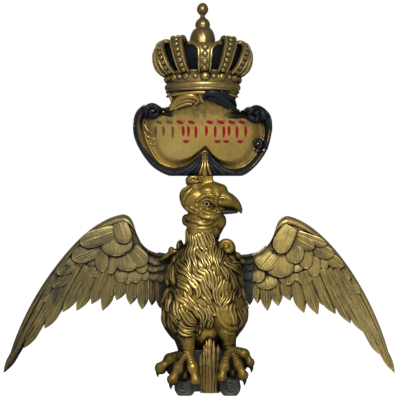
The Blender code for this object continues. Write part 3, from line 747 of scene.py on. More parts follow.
# Round feathers in millimetres: tip out and up, root out and up, width, height of the face
COVERTS = {
    -1: (
        (192, 258, 194, 292, 27, 16.5), (177, 254, 178, 288, 20, 15.5), (160, 257, 164, 292, 33, 16.5),
        (140, 262, 146, 294, 26, 16), (258, 271, 256, 320, 54, 18.5), (217, 278, 217, 322, 27, 19),
        (236, 282, 240, 330, 28, 22), (176, 284, 181, 332, 47, 21.5), (142, 280, 152, 308, 28, 19.5),
        (374, 214, 326, 262, 22, 17), (352, 249, 293, 288, 25, 19), (342, 280, 292, 309, 28, 21),
        (138, 299, 168, 333, 36, 24), (306, 313, 240, 340, 35, 23.5), (184, 327, 190, 372, 36, 24.5),
        (211, 319, 208, 370, 54, 25.5), (287, 347, 212, 374, 34, 27.5), (183, 348, 196, 392, 34, 30),
    ),
    1: (
        (330, 236, 292, 286, 30, 16), (300, 256, 272, 300, 32, 16.5), (277, 284, 254, 312, 34, 19),
        (142, 242, 137, 286, 46, 16), (190, 252, 186, 292, 36, 17), (211, 262, 207, 298, 27, 16.5),
        (232, 252, 227, 294, 35, 17.5), (124, 258, 119, 292, 30, 18), (207, 282, 203, 314, 40, 19.5),
        (168, 270, 173, 336, 58, 22), (253, 272, 244, 320, 30, 21), (232, 289, 229, 340, 31, 22.5),
        (209, 302, 203, 353, 37, 25), (354, 232, 322, 272, 20, 17), (333, 265, 298, 302, 22, 19),
        (317, 294, 276, 319, 24, 21.5), (294, 319, 240, 341, 28, 24), (124, 291, 152, 327, 44, 24),
        (250, 338, 204, 362, 27, 26), (278, 345, 206, 370, 20, 27.5), (165, 328, 194, 382, 38, 31.5),
    ),
}


def board(pile, side):
    """The thin board under all feathers, from the pad to the middle of the flight feathers."""
    shares = np.linspace(0, 1, 70)
    tips = np.array(FLIGHT_TIPS[side])
    shoulder = bezier(SHOULDER_INSIDE, np.linspace(0, 1, 28))
    high = np.vstack([shoulder, bezier(LEADING_INSIDE, np.linspace(0, 1, 43)[1:])])
    roots = bezier(FLIGHT_ROOTS, shares)
    out = tips[0, 0] + shares * (TIP_OUT - tips[0, 0])
    ends = np.column_stack([out, np.interp(out, tips[:, 0], tips[:, 1])])
    low = roots + (ends - roots) * (0.55 + 0.27 * ramp(shares, 0.50, 0.2))[:, None]
    share = np.linspace(0, 1, 12)[None, :, None]
    spots = stretched(side, high[:, None] + (low - high)[:, None] * share)
    thick = 0.0098 + 0.0110 * np.clip(1 - share[..., 0] / 0.70, 0, 1) * (1 - 0.5 * shares[:, None])
    top = on_board(side, spots, np.broadcast_to(thick, spots.shape[:2]))
    back = on_board(side, spots[:, [-1, 0]], np.full((len(shares), 2), 0.0002))
    pile.skin(np.concatenate([top, back], axis=1))


def flights(pile, side, seed, last=13):
    """The flight feathers, with a shorter one under each pair of the first ten."""
    tips = FLIGHT_TIPS[side][:last]

    def root_of(tip):
        return bezier(FLIGHT_ROOTS, (tip[0] - tips[0][0]) / (TIP_OUT - tips[0][0]))

    for i, (one, other) in enumerate(zip(tips[:9], tips[1:])):
        tip = np.array(((one[0] + other[0]) / 2, (one[1] + other[1]) / 2))
        root = root_of(tip)
        tip = tip + (root - tip) * (0.016 + 0.001 * i) / np.linalg.norm(root - tip)
        ends = stretched(side, np.array((root, tip)))
        feather(pile, side, *ends, 0.026, 0.0108, "flight", seed + i, 0.0003 + 0.0001 * i)
    for i, tip in enumerate(tips):
        step = (tips[min(i + 1, len(tips) - 1)][0] - tips[max(i - 1, 0)][0]) / 2
        width = min(0.029, max(0.0205, step + 0.002)) if i < 9 else OUTER_WIDTHS[i - 9]
        ends = stretched(side, np.array((root_of(tip), tip)))
        face = 0.0128 + 0.0014 * (i % 2)
        rise = 0.0075 if i > 6 else 0.0
        feather(pile, side, *ends, width, face, "flight", seed + 30 + i, 0.0016 + 0.0001 * i, rise)


def coverts(pile, side, table, longer, wider, seed):
    """The round feathers of a table, with roots that reach further up by the share that longer gives."""
    for i, (tip_out, tip_up, root_out, root_up, width, face) in enumerate(table):
        root, tip = np.array((root_out, root_up)) / 1000, np.array((tip_out, tip_up)) / 1000
        root = root + (root - tip) * longer(width, face)
        width, face = wider * width / 1000, face / 1000
        feather(pile, side, root, tip, width, face, "covert", seed + i, 0.0032 + 0.0001 * i)


def wing(side):
    pile = Pile()
    pad(pile, side)
    board(pile, side)
    flights(pile, side, 20 * (side + 2))
    longer = lambda width, face: 0.55 if face < 23 and width < 40 else 0.10
    coverts(pile, side, COVERTS[side], longer, 1.12, 50 * (side + 2))
    return pile


def cut_off(obj, place, way):
    """Cuts away what lies beyond a plane, one closed shape at a time, and closes each cut."""
    shape = bmesh.new()
    shape.from_mesh(obj.data)
    place, way = Vector(place), Vector(way).normalized()
    cut = bmesh.ops.bisect_plane(
        shape, geom=shape.verts[:] + shape.edges[:] + shape.faces[:], dist=1e-7,
        plane_co=place, plane_no=way, clear_outer=True,
    )
    left = {edge for edge in cut["geom_cut"] if isinstance(edge, bmesh.types.BMEdge)}
    while left:
        loop = [left.pop()]
        grown = True
        while grown:
            grown = False
            for vert in (loop[-1].verts[0], loop[-1].verts[1], loop[0].verts[0], loop[0].verts[1]):
                for edge in vert.link_edges:
                    if edge in left:
                        left.remove(edge)
                        loop.append(edge)
                        grown = True
        bmesh.ops.contextual_create(shape, geom=loop)
    shape.to_mesh(obj.data)
    shape.free()
    return obj


wings = {}
for name, side in (("left_wing", -1), ("right_wing", 1)):
    made = wing(side).piece(f"{name}_carving")
    cut_off(made, (MIDDLE_X + side * (SEAM_OUT[side] + GAP), SEAM_Y, 0), (-side, SLANT, 0))
    wings[name] = made
    print(name, len(made.data.polygons), "faces")

# %% [markdown]
# ## The eagle's body
#
# The bird is one block of wood, so it is modelled as one mass. Lumps are pressed together as with
# clay: balls for breast, thighs and skull, ropes for beak and brow. A voxel remesh then gives them
# one skin, as gesso does on the real carving. The feathering of the breast isn't regular either:
# each lock is drawn as a line on the front view, thrown onto the skin, and laid there as a blade
# with two strands. A second remesh, of just over a millimetre, grows body, face, curls and feet
# together, and the locks stay blades of their own.


# %% Lumps of clay
CLAY = []


def egg(centre, radii):
    """A ball or egg of clay, its place and radii in millimetres."""
    radii = radii if hasattr(radii, "__len__") else (radii,) * 3
    middle = [value / 1000 for value in centre]
    bpy.ops.mesh.primitive_ico_sphere_add(subdivisions=4, radius=1, location=middle)
    lump = bpy.context.object
    lump.scale = [value / 1000 for value in radii]
    CLAY.append(lump)


def slab(low, high):
    """A square-edged lump between two corners in millimetres."""
    middle = [(a + b) / 2000 for a, b in zip(low, high)]
    bpy.ops.mesh.primitive_cube_add(size=1, location=middle)
    lump = bpy.context.object
    lump.scale = [(b - a) / 1000 for a, b in zip(low, high)]
    CLAY.append(lump)


def rope(pile, stations, **how):
    """A rope through stations of x, y, z and radius in millimetres."""
    pile.skin(rope_rings([[value / 1000 for value in spot] for spot in stations], **how))


def modified(obj, kind, **settings):
    """Adds a modifier, sets it, and applies it."""
    change = obj.modifiers.new(kind.lower(), kind)
    for key, value in settings.items():
        setattr(change, key, value)
    pick(obj)
    bpy.ops.object.modifier_apply(modifier=change.name)
    return obj


def pressed(pile, name, voxel, soften):
    """One skin round all the clay so far and the ropes of a pile."""
    lumps = CLAY + [pile.piece("ropes")]
    CLAY.clear()
    pick(*lumps)
    bpy.ops.object.join()
    bpy.ops.object.transform_apply(location=True, rotation=True, scale=True)
    made = bpy.context.view_layer.objects.active
    made.name = made.data.name = name
    modified(made, "REMESH", mode="VOXEL", voxel_size=voxel)
    return modified(made, "SMOOTH", factor=0.5, iterations=soften)


def cut_flat(obj, *cuts):
    """Cuts away what lies beyond each plane, and closes the cut with one face."""
    for place, way in cuts:
        edit(obj)
        bpy.ops.mesh.bisect(plane_co=place, plane_no=way, use_fill=True, clear_outer=True)
        leave()


# %% Torso, neck and skull
def body_lumps():
    egg((10, 24, 266), (84, 68, 86))
    egg((10, 22, 215), (93, 60, 70))
    egg((8, 29, 311), (58, 46, 47))
    egg((12, 24, 152), (42, 34, 50))
    egg((12, 38, 120), (52, 24, 46))
    slab((-30, 26, 60), (66, 60, 150))
    for x, z in ((-43, 190), (62, 191)):
        egg((x, 10, z), (45, 54, 56))
    egg((64, -22, 178), (24, 22, 22))
    egg((74, -14, 157), (18, 18, 14))
    slab((-58, 20, 150), (80, 79, 330))
    # Skull, face, brow over the beak, back of the head, jaw and throat
    egg((-5, 5, 450), (41, 35, 36))
    egg((28, 0, 461), (34, 29, 30))
    egg((45, -1, 470), (19, 20, 16))
    egg((-29, 9, 456), (19, 25, 23))
    egg((20, 1, 413), (30, 33, 21))
    egg((45, 9, 399), (16, 19, 20))
    egg((-33, 12, 402), (9, 13, 14))
    egg((17, -20, 468), (20, 12, 12))
    # The roll on the head and the post that carries the shield
    egg((-14, 0, 493), (20, 25, 13.5))
    slab((-6, -12, 480), (30, 40, 512))


def body_ropes(pile):
    rope(pile, ((6, 22, 312, 44), (3, 16, 342, 34), (3, 11, 372, 33), (4, 8, 402, 35)), sides=32, count=14)
    rope(pile, ((44, 10, 398, 14), (36, 12, 382, 12), (27, 16, 358, 11)), sides=16)
    rope(pile, ((-42, 4, 168, 38), (-36, -4, 140, 28), (-32, -7, 112, 21), (-31, -8, 94, 18)), sides=24)
    rope(pile, ((62, 4, 174, 37), (63, -3, 150, 27), (66, -7, 126, 17.5), (68, -8, 100, 16)), sides=24)
    # Beak above and below
    rope(
        pile,
        ((46, -2, 450, 22), (60, -5, 448.5, 21), (72, -7, 443, 18), (82, -8, 436, 14), (90, -9, 427.5, 8.8),
         (94.3, -10, 420.5, 4.2), (94.4, -10, 416.6, 2)),
        sides=20, count=24, flat=0.92,
    )
    rope(pile, ((36, -4, 424, 11), (46, -4, 423, 9), (54, -4, 423, 7)), sides=14)


base_ropes = Pile()
body_lumps()
body_ropes(base_ropes)
smooth_bird = pressed(base_ropes, "smooth_bird", voxel=0.0022, soften=9)
print("smooth bird:", len(smooth_bird.data.polygons), "faces")

# %% [markdown]
# ### Locks of the breast
#
# A lock starts wide, swells, and runs out to a point, and its free end stands up from the body, so
# that it covers the start of the next one. The lines below follow the locks of the photograph, in
# millimetres across and up. Where the front view says nothing, on the flanks and behind the neck,
# locks are sown in rows and follow the fall of the body.

# %% A lock laid on the skin
SKIN = BVHTree.FromObject(smooth_bird, bpy.context.evaluated_depsgraph_get())
# The strands of a lock, and how far back a lock may reach
STRANDS, LOCK_BACK_Y = 2, 0.0685


def thrown(x, z):
    """The point of the bird that is seen at a place of the front view, and its normal."""
    hit, normal, _, _ = SKIN.ray_cast(Vector((x, VIEW_FROM_Y, z)), STRAIGHT_BACK)
    if hit is None:
        hit, normal, _, _ = SKIN.find_nearest(Vector((x, 0.01, z)))
    return np.array(hit), np.array(normal)


def lay_lock(pile, spots, normals, width, lift, seed, fine=True):
    """A blade of strands over points of the skin, its tip lifted."""
    rows, per_strand = (26, 8) if fine else (14, 6)
    line = smooth_line(np.hstack([spots, normals]), rows)
    path, normal = line[:, :3], unit(line[:, 3:])
    along = unit(np.gradient(path, axis=0))
    across = unit(np.cross(along, normal))
    normal = np.cross(across, along)
    v = np.linspace(0, 1, rows)[:, None]
    s = np.linspace(-1, 1, per_strand * STRANDS + 1)[None, :]
    half = width / 2 * (0.50 + 0.50 * np.sin(np.minimum(1, v / 0.42) * pi / 2))
    half = half * np.clip(1 - ramp(v, 0.40, 0.60) ** 1.8, 0.0, 1) ** 0.8 + 0.0003
    rise = lift * (-0.45 + 1.25 * v**0.8) - 0.0012 - 0.004 * np.clip(1 - v / 0.15, 0, 1) ** 2
    rise = rise - lift * 0.5 * ramp(v, 0.85, 0.15) ** 2
    full = half * 2 / width
    dome = 0.10 * width * full**0.7 * (1 - np.abs(s) ** 2.2)
    phase = (s + 1) / 2 * STRANDS + 0.14 * np.sin(v * 6 + seed) * (1 - s**2)
    strand = np.abs(np.sin(pi * phase)) ** 0.75 * 0.0042 * np.minimum(1, full * 1.3)
    length = np.linalg.norm(np.diff(path, axis=0), axis=1).sum()
    sway = 0.0024 * np.sin(2 * pi * v * length / 0.050 + seed) * np.minimum(1, 3 * v)

    def above(sideways, height):
        return path[:, None] + across[:, None] * sideways[..., None] + normal[:, None] * height

    top = above(s * half + sway, (rise + dome + strand)[..., None])
    rings = np.concatenate([top, above(np.array([[0.8, -0.8]]) * half, -0.006)], axis=1)
    rings[..., 1] = np.minimum(rings[..., 1], LOCK_BACK_Y)
    grain = np.zeros((rows, s.shape[1] + 2, 3))
    grain[:, :-2, 0] = s * half
    grain[..., 1] = v * length
    grain[..., 2] = seed
    pile.skin(rings, grain)


FLOW = []


def drawn_lock(pile, width, lift, line, seed):
    """A lock along a line of the front view, in millimetres. The sown locks follow how it flows."""
    steps = smooth_line([(x / 1000, z / 1000, 0) for x, z in line], 9)
    found = [thrown(x, z) for x, z, _ in steps]
    spots = np.array([spot for spot, _ in found])
    FLOW.extend(np.hstack([spots, unit(np.gradient(spots, axis=0))]))
    lay_lock(pile, spots, np.array([normal for _, normal in found]), width / 1000, lift / 1000, seed)


# %% The locks of the photograph
# Width, lift, and the line across and up, all in millimetres
NECK_LOCKS = (
    (11, 3, ((-31, 378), (-31, 356), (-35, 336), (-39, 318), (-36, 300))),
    (11, 3, ((-24, 377), (-23, 352), (-25, 332), (-28, 313), (-22, 294), (-17, 283))),
    (11, 3, ((-17, 374), (-13, 353), (-13, 333), (-16, 315), (-10, 299), (-1, 288))),
    (10, 3, ((-10, 377), (-3, 362), (5, 347), (11, 333), (13, 317))),
    (9, 3, ((-1, 377), (6, 364), (12, 351), (18, 337))),
    (12, 4, ((-15, 348), (-5, 332), (2, 319), (8, 305), (16, 294))),
    (11, 4, ((-1, 337), (7, 323), (12, 310), (20, 297), (23, 284))),
    (10, 3, ((10, 375), (16, 357), (20, 339), (22, 319), (25, 301))),
    (10, 3, ((22, 377), (27, 356), (28, 336), (25, 316), (28, 297))),
    (10, 3, ((33, 374), (38, 352), (38, 331), (36, 309), (38, 289), (42, 273))),
    (10, 3, ((43, 360), (45, 338), (45, 318), (46, 298))),
)
BREAST_LOCKS = (
    (11, 3, ((-45, 324), (-43, 307), (-33, 293), (-25, 283), (-20, 272))),
    (12, 4, ((-52, 306), (-45, 291), (-33, 281), (-21, 273), (-9, 263))),
    (12, 4, ((-20, 286), (-10, 275), (2, 266), (10, 254), (14, 240))),
    (13, 4, ((-9, 298), (1, 287), (13, 278), (20, 266), (25, 252), (28, 240))),
    (12, 4, ((8, 296), (18, 284), (24, 271), (26, 257), (22, 243))),
    (14, 6, ((-38, 277), (-25, 270), (-13, 260), (-5, 248), (-5, 234), (-8, 221))),
    (12, 4, ((0, 268), (8, 255), (16, 243), (20, 229), (26, 217))),
    (12, 4, ((-4, 252), (4, 241), (12, 229), (18, 217), (26, 206))),
    (12, 5, ((-55, 264), (-44, 257), (-32, 249), (-22, 240), (-16, 229))),
    (11, 4, ((30, 294), (28, 277), (32, 262), (34, 248), (30, 232))),
    (11, 4, ((42, 282), (44, 267), (40, 252), (36, 238), (34, 222), (37, 207))),
    (12, 5, ((52, 274), (48, 257), (43, 241), (40, 224), (43, 205))),
    (13, 5, ((62, 278), (58, 259), (54, 240), (52, 222), (47, 203))),
    (12, 5, ((68, 267), (66, 249), (65, 231), (62, 215), (54, 200))),
    (11, 4, ((74, 288), (74, 269), (76, 250), (76, 232), (72, 213))),
    (11, 4, ((60, 302), (66, 285), (72, 270), (80, 256), (86, 240), (88, 222))),
    (10, 4, ((84, 270), (90, 253), (96, 238), (97, 221))),
    (10, 3, ((46, 302), (52, 288), (60, 277), (64, 262))),
    (12, 4, ((-62, 302), (-63, 285), (-60, 268), (-56, 252))),
    (12, 4, ((-75, 302), (-79, 283), (-79, 264), (-74, 248))),
    (11, 3, ((-50, 330), (-55, 316), (-61, 302))),
    (11, 4, ((52, 314), (62, 301), (74, 292), (86, 284), (94, 272))),
    (10, 4, ((68, 307), (82, 299), (96, 290))),
    (11, 4, ((88, 286), (98, 275), (105, 260), (106, 244))),
)
BELLY_LOCKS = (
    (13, 4, ((-57, 252), (-53, 237), (-43, 222), (-31, 208), (-18, 194))),
    (12, 5, ((-45, 229), (-34, 215), (-22, 202), (-10, 190), (0, 178))),
    (12, 5, ((-28, 217), (-17, 206), (-6, 194), (4, 180), (8, 165))),
    (11, 4, ((-11, 213), (0, 202), (8, 190), (10, 176), (6, 157))),
    (12, 4, ((-47, 209), (-43, 193), (-35, 180), (-22, 170), (-8, 162))),
    (10, 4, ((-37, 199), (-27, 185), (-15, 174), (-3, 166))),
    (12, 4, ((-59, 224), (-55, 205), (-51, 188), (-45, 173))),
    (11, 4, ((-53, 172), (-43, 161), (-33, 156), (-22, 152), (-11, 150))),
    (11, 4, ((-54, 158), (-43, 149), (-31, 143), (-16, 138))),
    (10, 3, ((-20, 169), (-10, 160), (-4, 148), (-10, 135))),
    (14, 4, ((-68, 242), (-71, 223), (-71, 205), (-67, 187))),
    (13, 4, ((-79, 252), (-83, 231), (-85, 212), (-83, 195))),
    (13, 4, ((-81, 206), (-83, 188), (-79, 170), (-71, 155))),
    (13, 4, ((-66, 192), (-67, 173), (-61, 156), (-51, 141))),
    (10, 4, ((18, 212), (25, 201), (33, 192), (40, 183))),
    (10, 3, ((12, 202), (18, 189), (24, 178), (28, 165))),
    (12, 4, ((84, 202), (91, 187), (93, 170), (88, 155))),
    (12, 4, ((97, 208), (101, 192), (98, 176), (91, 160))),
    (11, 4, ((14, 206), (17, 190), (16, 172))),
    (11, 4, ((2, 184), (6, 168), (8, 150))),
    (10, 4, ((24, 182), (24, 166), (20, 150))),
    (10, 4, ((104, 228), (107, 212), (103, 198))),
)

drawn = Pile()
for seed, (width, lift, line) in enumerate(NECK_LOCKS + BREAST_LOCKS + BELLY_LOCKS):
    drawn_lock(drawn, width + 6.5, lift + 1.6, line, seed)
FLOW = np.array(FLOW)


# %% Locks sown between and behind
def fall(spot):
    """The way that feathering falls at a point of the body: as the drawn locks near it do."""
    x, _, z = spot
    if z > 0.235:
        way = np.array((0.5 * sin((z - 0.2) * 36) * (1 if x < 0.01 else -1), 0.10, -1.0))
    else:
        way = unit(np.array(((-0.034 if x < 0.014 else 0.066), -0.008, 0.09)) - np.array(spot))
    near = np.exp(-((FLOW[:, :3] - spot) ** 2).sum(1) / (2 * 0.018**2))
    return (FLOW[:, 3:] * near[:, None]).sum(0) + 0.05 * way


def sown_lock(pile, start, seed, length, width, lift):
    """A lock that starts at a point of the skin and goes where the feathering falls, swaying a little."""
    spot, spots, normals = np.array(start), [], []
    for i in range(6):
        hit, normal, _, _ = SKIN.find_nearest(Vector(spot))
        hit, normal = np.array(hit), np.array(normal)
        spots.append(hit)
        normals.append(normal)
        way = unit(fall(hit))
        way = unit(way - normal * way.dot(normal))
        side = np.cross(way, normal)
        spot = hit + (way + side * 0.35 * cos(2 * pi * i / 5 + seed)) * length / 5
    lay_lock(pile, np.array(spots), np.array(normals), width, lift, seed, fine=False)


FIRST_ROW_Z, ROW_DROP = 0.386, 0.0240
sown_pile, sown = Pile(), 0
dice = np.random.default_rng(7)
for row in range(12):
    z = FIRST_ROW_Z - ROW_DROP * row
    for k in range(6):
        for hand in (-1, 1):
            angle = radians(hand * (8 + 30 * (k + 0.5 * (row % 2)))) + 0.14 * (dice.random() - 0.5)
            outward_way = Vector((sin(angle), -cos(angle), 0))
            hit = SKIN.ray_cast(Vector((0.008, 0.028, z + 0.008 * (dice.random() - 0.5))), outward_way)[0]
            # No locks at the back, on the throat, on the right knee or on the legs, or over a drawn lock
            if hit is None or hit.y > 0.054 or (hit.y < 0 and hit.z > 0.374):
                continue
            if hit.y < 0 and (hit.x - 0.066) ** 2 + (hit.z - 0.180) ** 2 < 0.024**2:
                continue
            if hit.z < 0.150 and hit.y < 0.020:
                continue
            if ((FLOW[:, :3] - np.array(hit)) ** 2).sum(1).min() < 0.0065**2:
                continue
            sown_lock(sown_pile, hit, row * 7 + k, 0.066, 0.0195, 0.0018)
            sown += 1
breast_locks, under_locks = drawn.piece("breast_locks"), sown_pile.piece("under_locks")
print("locks:", len(drawn.points), "drawn,", sown, "sown")

# %% [markdown]
# ### Face, crest, shoulder curls and feet
#
# The face is built the way an anatomist would: a brow that hangs over the eye, lids, the folds of
# the cheek and the fleshy root of the beak, all as ropes of clay. The toes are ropes too, with a
# ball at each joint and rings of scales, and a web of clay between them.


# %% Face and crest
def skin_rope(pile, line, out):
    """A rope on the front of the smooth bird, from millimetres across and up, and its radius."""
    stations = []
    for x, z, radius in line:
        front = thrown(x / 1000, z / 1000)[0][1] * 1000
        stations.append((x, front - radius * out, z, radius))
    rope(pile, stations)


# The eye, in millimetres across and up, and how far back the skin lies there, in metres
EYE_X, EYE_Z = 15.2, 438.8
EYE_Y = thrown(EYE_X / 1000, EYE_Z / 1000)[0][1]


# How far each rope stands out, as a share of its radius, then its line: across, up and radius
FACE_ROPES = (
    # Brow, upper lid and lower lid
    (0.30, ((-6, 446, 3), (2, 452.5, 4.6), (12, 458, 5.4), (24, 459.5, 5.4),
            (34, 455, 4.6), (39, 449, 3.4))),
    (0.35, ((2, 441, 1.8), (7, 446.6, 2.5), (15, 449.6, 2.6), (23, 448, 2.4), (28, 442, 1.8))),
    (0.25, ((4, 436, 1.6), (9, 431, 2.2), (17, 429, 2.4), (25, 431.5, 2.2), (28.5, 437, 1.6))),
    # Fleshy root of the beak
    (0.20, ((42, 461, 3), (37, 452, 4), (36, 441, 4.2), (38, 430, 4), (43, 424, 3))),
    (0.2, ((33, 449, 2), (31.5, 440, 2.6), (32.5, 431, 2.6), (36, 424, 2))),
    (0.3, ((41, 451, 1.8), (48, 453.5, 2.4), (57, 452, 2.0), (64, 447, 1.4))),
    # Folds of cheek, jaw and throat
    (0.05, ((-8, 436, 2.6), (0, 428, 4.4), (10, 421, 5), (20, 417, 4.4), (30, 416, 3))),
    (-0.1, ((-32, 430, 4), (-16, 421, 5.4), (2, 412, 5.6), (18, 408, 5), (33, 409, 4), (42, 413, 3))),
    (0.3, ((-20, 431, 3), (-6, 424, 3.4), (4, 418, 3))),
    (-0.15, ((-34, 410, 4.4), (-18, 401, 5.2), (-2, 398, 5), (10, 400, 3.4))),
    (0.25, ((-10, 401, 2.6), (-3, 395, 4.2), (7, 392.5, 4.4), (18, 394, 3.8), (27, 398, 2.4))),
    (-0.3, ((-36, 398, 4), (-24, 389, 4.6), (-4, 384, 4.8), (16, 384, 4.4),
            (32, 391, 4), (42, 399, 3.4))),
    (0.8, ((22, 404, 1.6), (30, 406.5, 2.4), (38, 408, 1.8))),
    # Short feathers on the back of the head
    (-0.05, ((-24, 482, 1.5), (-35, 473, 3), (-42, 460, 2))),
    (-0.05, ((-19, 474, 1.5), (-31, 463, 3), (-37, 450, 2))),
    (-0.05, ((-33, 462, 1.5), (-40, 450, 2.8), (-38, 439, 2))),
    (-0.05, ((-14, 462, 1.5), (-26, 451, 2.8), (-31, 438, 2))),
    # The roll on the head
    (0.15, ((-30, 486, 3), (-25, 497, 4), (-14, 501, 4), (-2, 499, 3.6), (2, 490, 3))),
    (0.2, ((-28, 481, 3), (-14, 479, 4), (0, 482, 3))),
)


def face(pile):
    for out, line in FACE_ROPES:
        skin_rope(pile, line, out)
    # A ball at the corner of the mouth, and the ring in front of the roll
    egg((42.5, EYE_Y * 1000 + 3, 421), 3.4)
    turn = np.linspace(0, 2 * pi, 12)
    skin_rope(pile, [(-10 + 6.2 * cos(a), 494 + 5 * sin(a), 2.0) for a in turn], 0.5)


def curls(pile):
    """The scrolled tufts on the shoulders."""
    turn = np.linspace(0, 1, 22)
    angle = radians(205) - turn * 2 * pi * 1.25
    reach = 15.5 * (1 - 0.80 * turn)
    spiral = []
    for r, a, t in zip(reach, angle, turn):
        spiral.append((62 + r * cos(a), 2 - 10 * t, 338 + r * 1.1 * sin(a), 9.6 - 4.8 * t))
    rope(pile, spiral, sides=14, count=40)
    egg((62, 16, 337), (20, 18, 22))
    egg((62, -6, 337), 5)
    egg((85, 17, 319), (9.5, 9.5, 9.5))
    rope(pile, ((66, 24, 322, 8), (82, 26, 312, 9), (98, 30, 306, 7)))
    rope(pile, ((56, 10, 316, 4), (66, 6, 312, 5), (76, 8, 306, 5), (86, 14, 302, 4)))
    egg((-46, 22, 342), (9, 12, 13))
    rope(pile, ((-42, 14, 330, 4), (-49, 11, 340, 4), (-50, 13, 350, 3.4), (-44, 15, 354, 3)))
    rope(pile, ((-48, 20, 326, 8), (-62, 22, 329, 8), (-74, 27, 320, 7), (-88, 32, 312, 5)))
    egg((-66, 22, 333), (7, 8, 8))


# %% Feet
# Joints of each toe: x, y, z and radius
LEFT_TOES = (
    ((-36, -14, 92, 15), (-54, -26, 90, 12.4), (-68, -32, 82, 17.5), (-79, -36, 73, 11.6),
     (-89, -38, 64.5, 15)),
    ((-34, -20, 92, 14), (-43, -34, 77, 11.6), (-50, -43.5, 62, 15.6), (-56, -47, 51, 10.4),
     (-62, -47.5, 39, 14)),
    ((-28, -22, 92, 13), (-22, -36, 79, 10.6), (-17, -44.5, 64, 14), (-13, -48, 52, 9.2),
     (-10.5, -48.5, 38, 12.2)),
)
RIGHT_TOES = (
    ((68, -14, 102, 14), (85, -26, 101, 11.6), (100, -32, 94, 15.6), (108, -35, 86, 10),
     (113, -37, 77, 12.4)),
    ((70, -20, 100, 13), (80, -35, 86, 10.8), (87, -42.5, 71, 14.6), (93, -46, 61, 9.8),
     (98, -47.5, 48.5, 13.2)),
    ((66, -20, 96, 13), (60, -35, 82, 10.8), (56.5, -43.5, 66, 14.2), (53, -47, 55, 9.4),
     (50.5, -48.5, 44.5, 12.4)),
)
CLAWS = []


def foot(pile, toes):
    """Three toes with a web of clay between them, and the places of their claws."""
    for toe in toes:
        rope(pile, toe, sides=20, count=44, rings_per_metre=170)
        joint, end = Vector(toe[3][:3]), Vector(toe[4][:3])
        on = (end - joint).normalized()
        hook = end + on * 10 + Vector((0, 0, -5))
        point = end + on * 9 + Vector((0, 4, -15))
        CLAWS.append(((*(end + on * 3), 8.0), (*hook, 4.6), (*point, 0.9)))
    for one, other in zip(toes, toes[1:]):
        for a, b in ((1, 1), (2, 2), (3, 2)):
            web = (Vector(one[a][:3]) + Vector(other[b][:3])) / 2
            egg((web.x, web.y + 15, web.z - 5), (13, 15, 15))


def dent(obj, x, z, radius, depth):
    """Presses a soft hollow into the front of an object, in millimetres across, up and deep."""
    points = read_rows(obj.data.vertices, "co", 3)
    away = np.hypot(points[:, 0] - x / 1000, points[:, 2] - z / 1000) / (radius / 1000)
    share = np.clip(1 - away**2, 0, 1) ** 2 * (points[:, 1] < -0.002)
    points[:, 1] += share * depth / 1000
    obj.data.vertices.foreach_set("co", points.ravel())
    obj.data.update()


extras = Pile()
face(extras)
curls(extras)
foot(extras, LEFT_TOES)
foot(extras, RIGHT_TOES)
# Folds of the right knee, and rings round both ankles
for line in (
    ((38, 200, 2), (42, 182, 3.2), (51, 166, 3.8), (64, 157, 3.4)),
    ((90, 194, 2), (88, 176, 3.2), (80, 161, 3.6), (70, 150, 3)),
    ((46, 172, 2), (56, 158, 3), (68, 151, 2.6)), ((58, 146, 2), (68, 140, 2.8), (78, 142, 2)),
):
    skin_rope(extras, line, -0.25)
for z in (98, 103.5, 109):
    skin_rope(extras, ((-49, z, 2), (-38, z - 1.5, 3), (-24, z - 2, 3), (-14, z, 2)), 0.1)
for z in (112, 118):
    skin_rope(extras, ((52, z - 2, 2), (64, z - 2, 2.6), (78, z + 1, 2)), 0.1)

# %% One skin over body, face, curls and feet
BIRD_BACK_Y, BIRD_TOP_Z = 0.0688, 0.503
CLAY.append(smooth_bird)
bird = pressed(extras, "eagle_carving", voxel=0.00118, soften=1)
cut_flat(bird, ((0, BIRD_BACK_Y, 0), (0, 1, 0)), ((0, 0, BIRD_TOP_Z), (0, 0, 1)))
# The socket of the eye, the loops of the roll, the nostril and the corner of the mouth
for x, z, radius, depth in (
    (EYE_X, EYE_Z, 9.5, 5.0), (-14, 497, 3.4, 7), (-5, 495, 3.0, 7), (47, 447, 5, 2.4), (52, 450, 4, 2),
    (30, 421, 5, 2),
):
    dent(bird, x, z, radius, depth)
# Smooth places need fewer faces than folds do
modified(bird, "DECIMATE", ratio=0.44)
print("bird:", len(bird.data.polygons), "faces")

# %% [markdown]
# ### Wing roots, tail, claws and eye
#
# The wings were carved apart and set on with a glued seam, so each wing's first hand's breadth
# stays on the body. It is the same board as the wing, cut at the same plane from the other side.
# The tail is a bundle of long upright feathers. The eye is turned: a ring, a groove and a deep
# pupil, from a profile that is spun round the line of sight.

# %% Wing roots
ROOT_COVERTS = {
    -1: (
        (121, 262, 118, 294, 27, 16), (104, 258, 104, 292, 24, 16), (122, 281, 118, 312, 28, 20),
        (104, 284, 103, 316, 24, 20), (122, 300, 112, 324, 30, 24), (100, 304, 96, 326, 26, 24),
    ),
    1: (
        (112, 256, 110, 290, 26, 17), (96, 262, 95, 294, 24, 17), (108, 284, 104, 314, 28, 20),
        (100, 300, 94, 322, 26, 23),
    ),
}


def wing_root(name, side):
    """The first hand's breadth of a wing, cut at the seam and hidden in the body at the other end."""
    pile = Pile()
    pad(pile, side)
    board(pile, side)
    flights(pile, side, 90 + 40 * side, 5)
    longer = lambda width, face: 0.40 if face < 20 else 0.0
    coverts(pile, side, ROOT_COVERTS[side], longer, 1.15, 120)
    made = cut_off(pile.piece(name), (MIDDLE_X + side * SEAM_OUT[side], SEAM_Y, 0), (side, -SLANT, 0))
    return cut_off(made, (MIDDLE_X + side * 0.052, 0, 0), (-side, 0, 0))


roots = [wing_root("left_wing_root", -1), wing_root("right_wing_root", 1)]
print("wing roots:", [len(root.data.polygons) for root in roots])

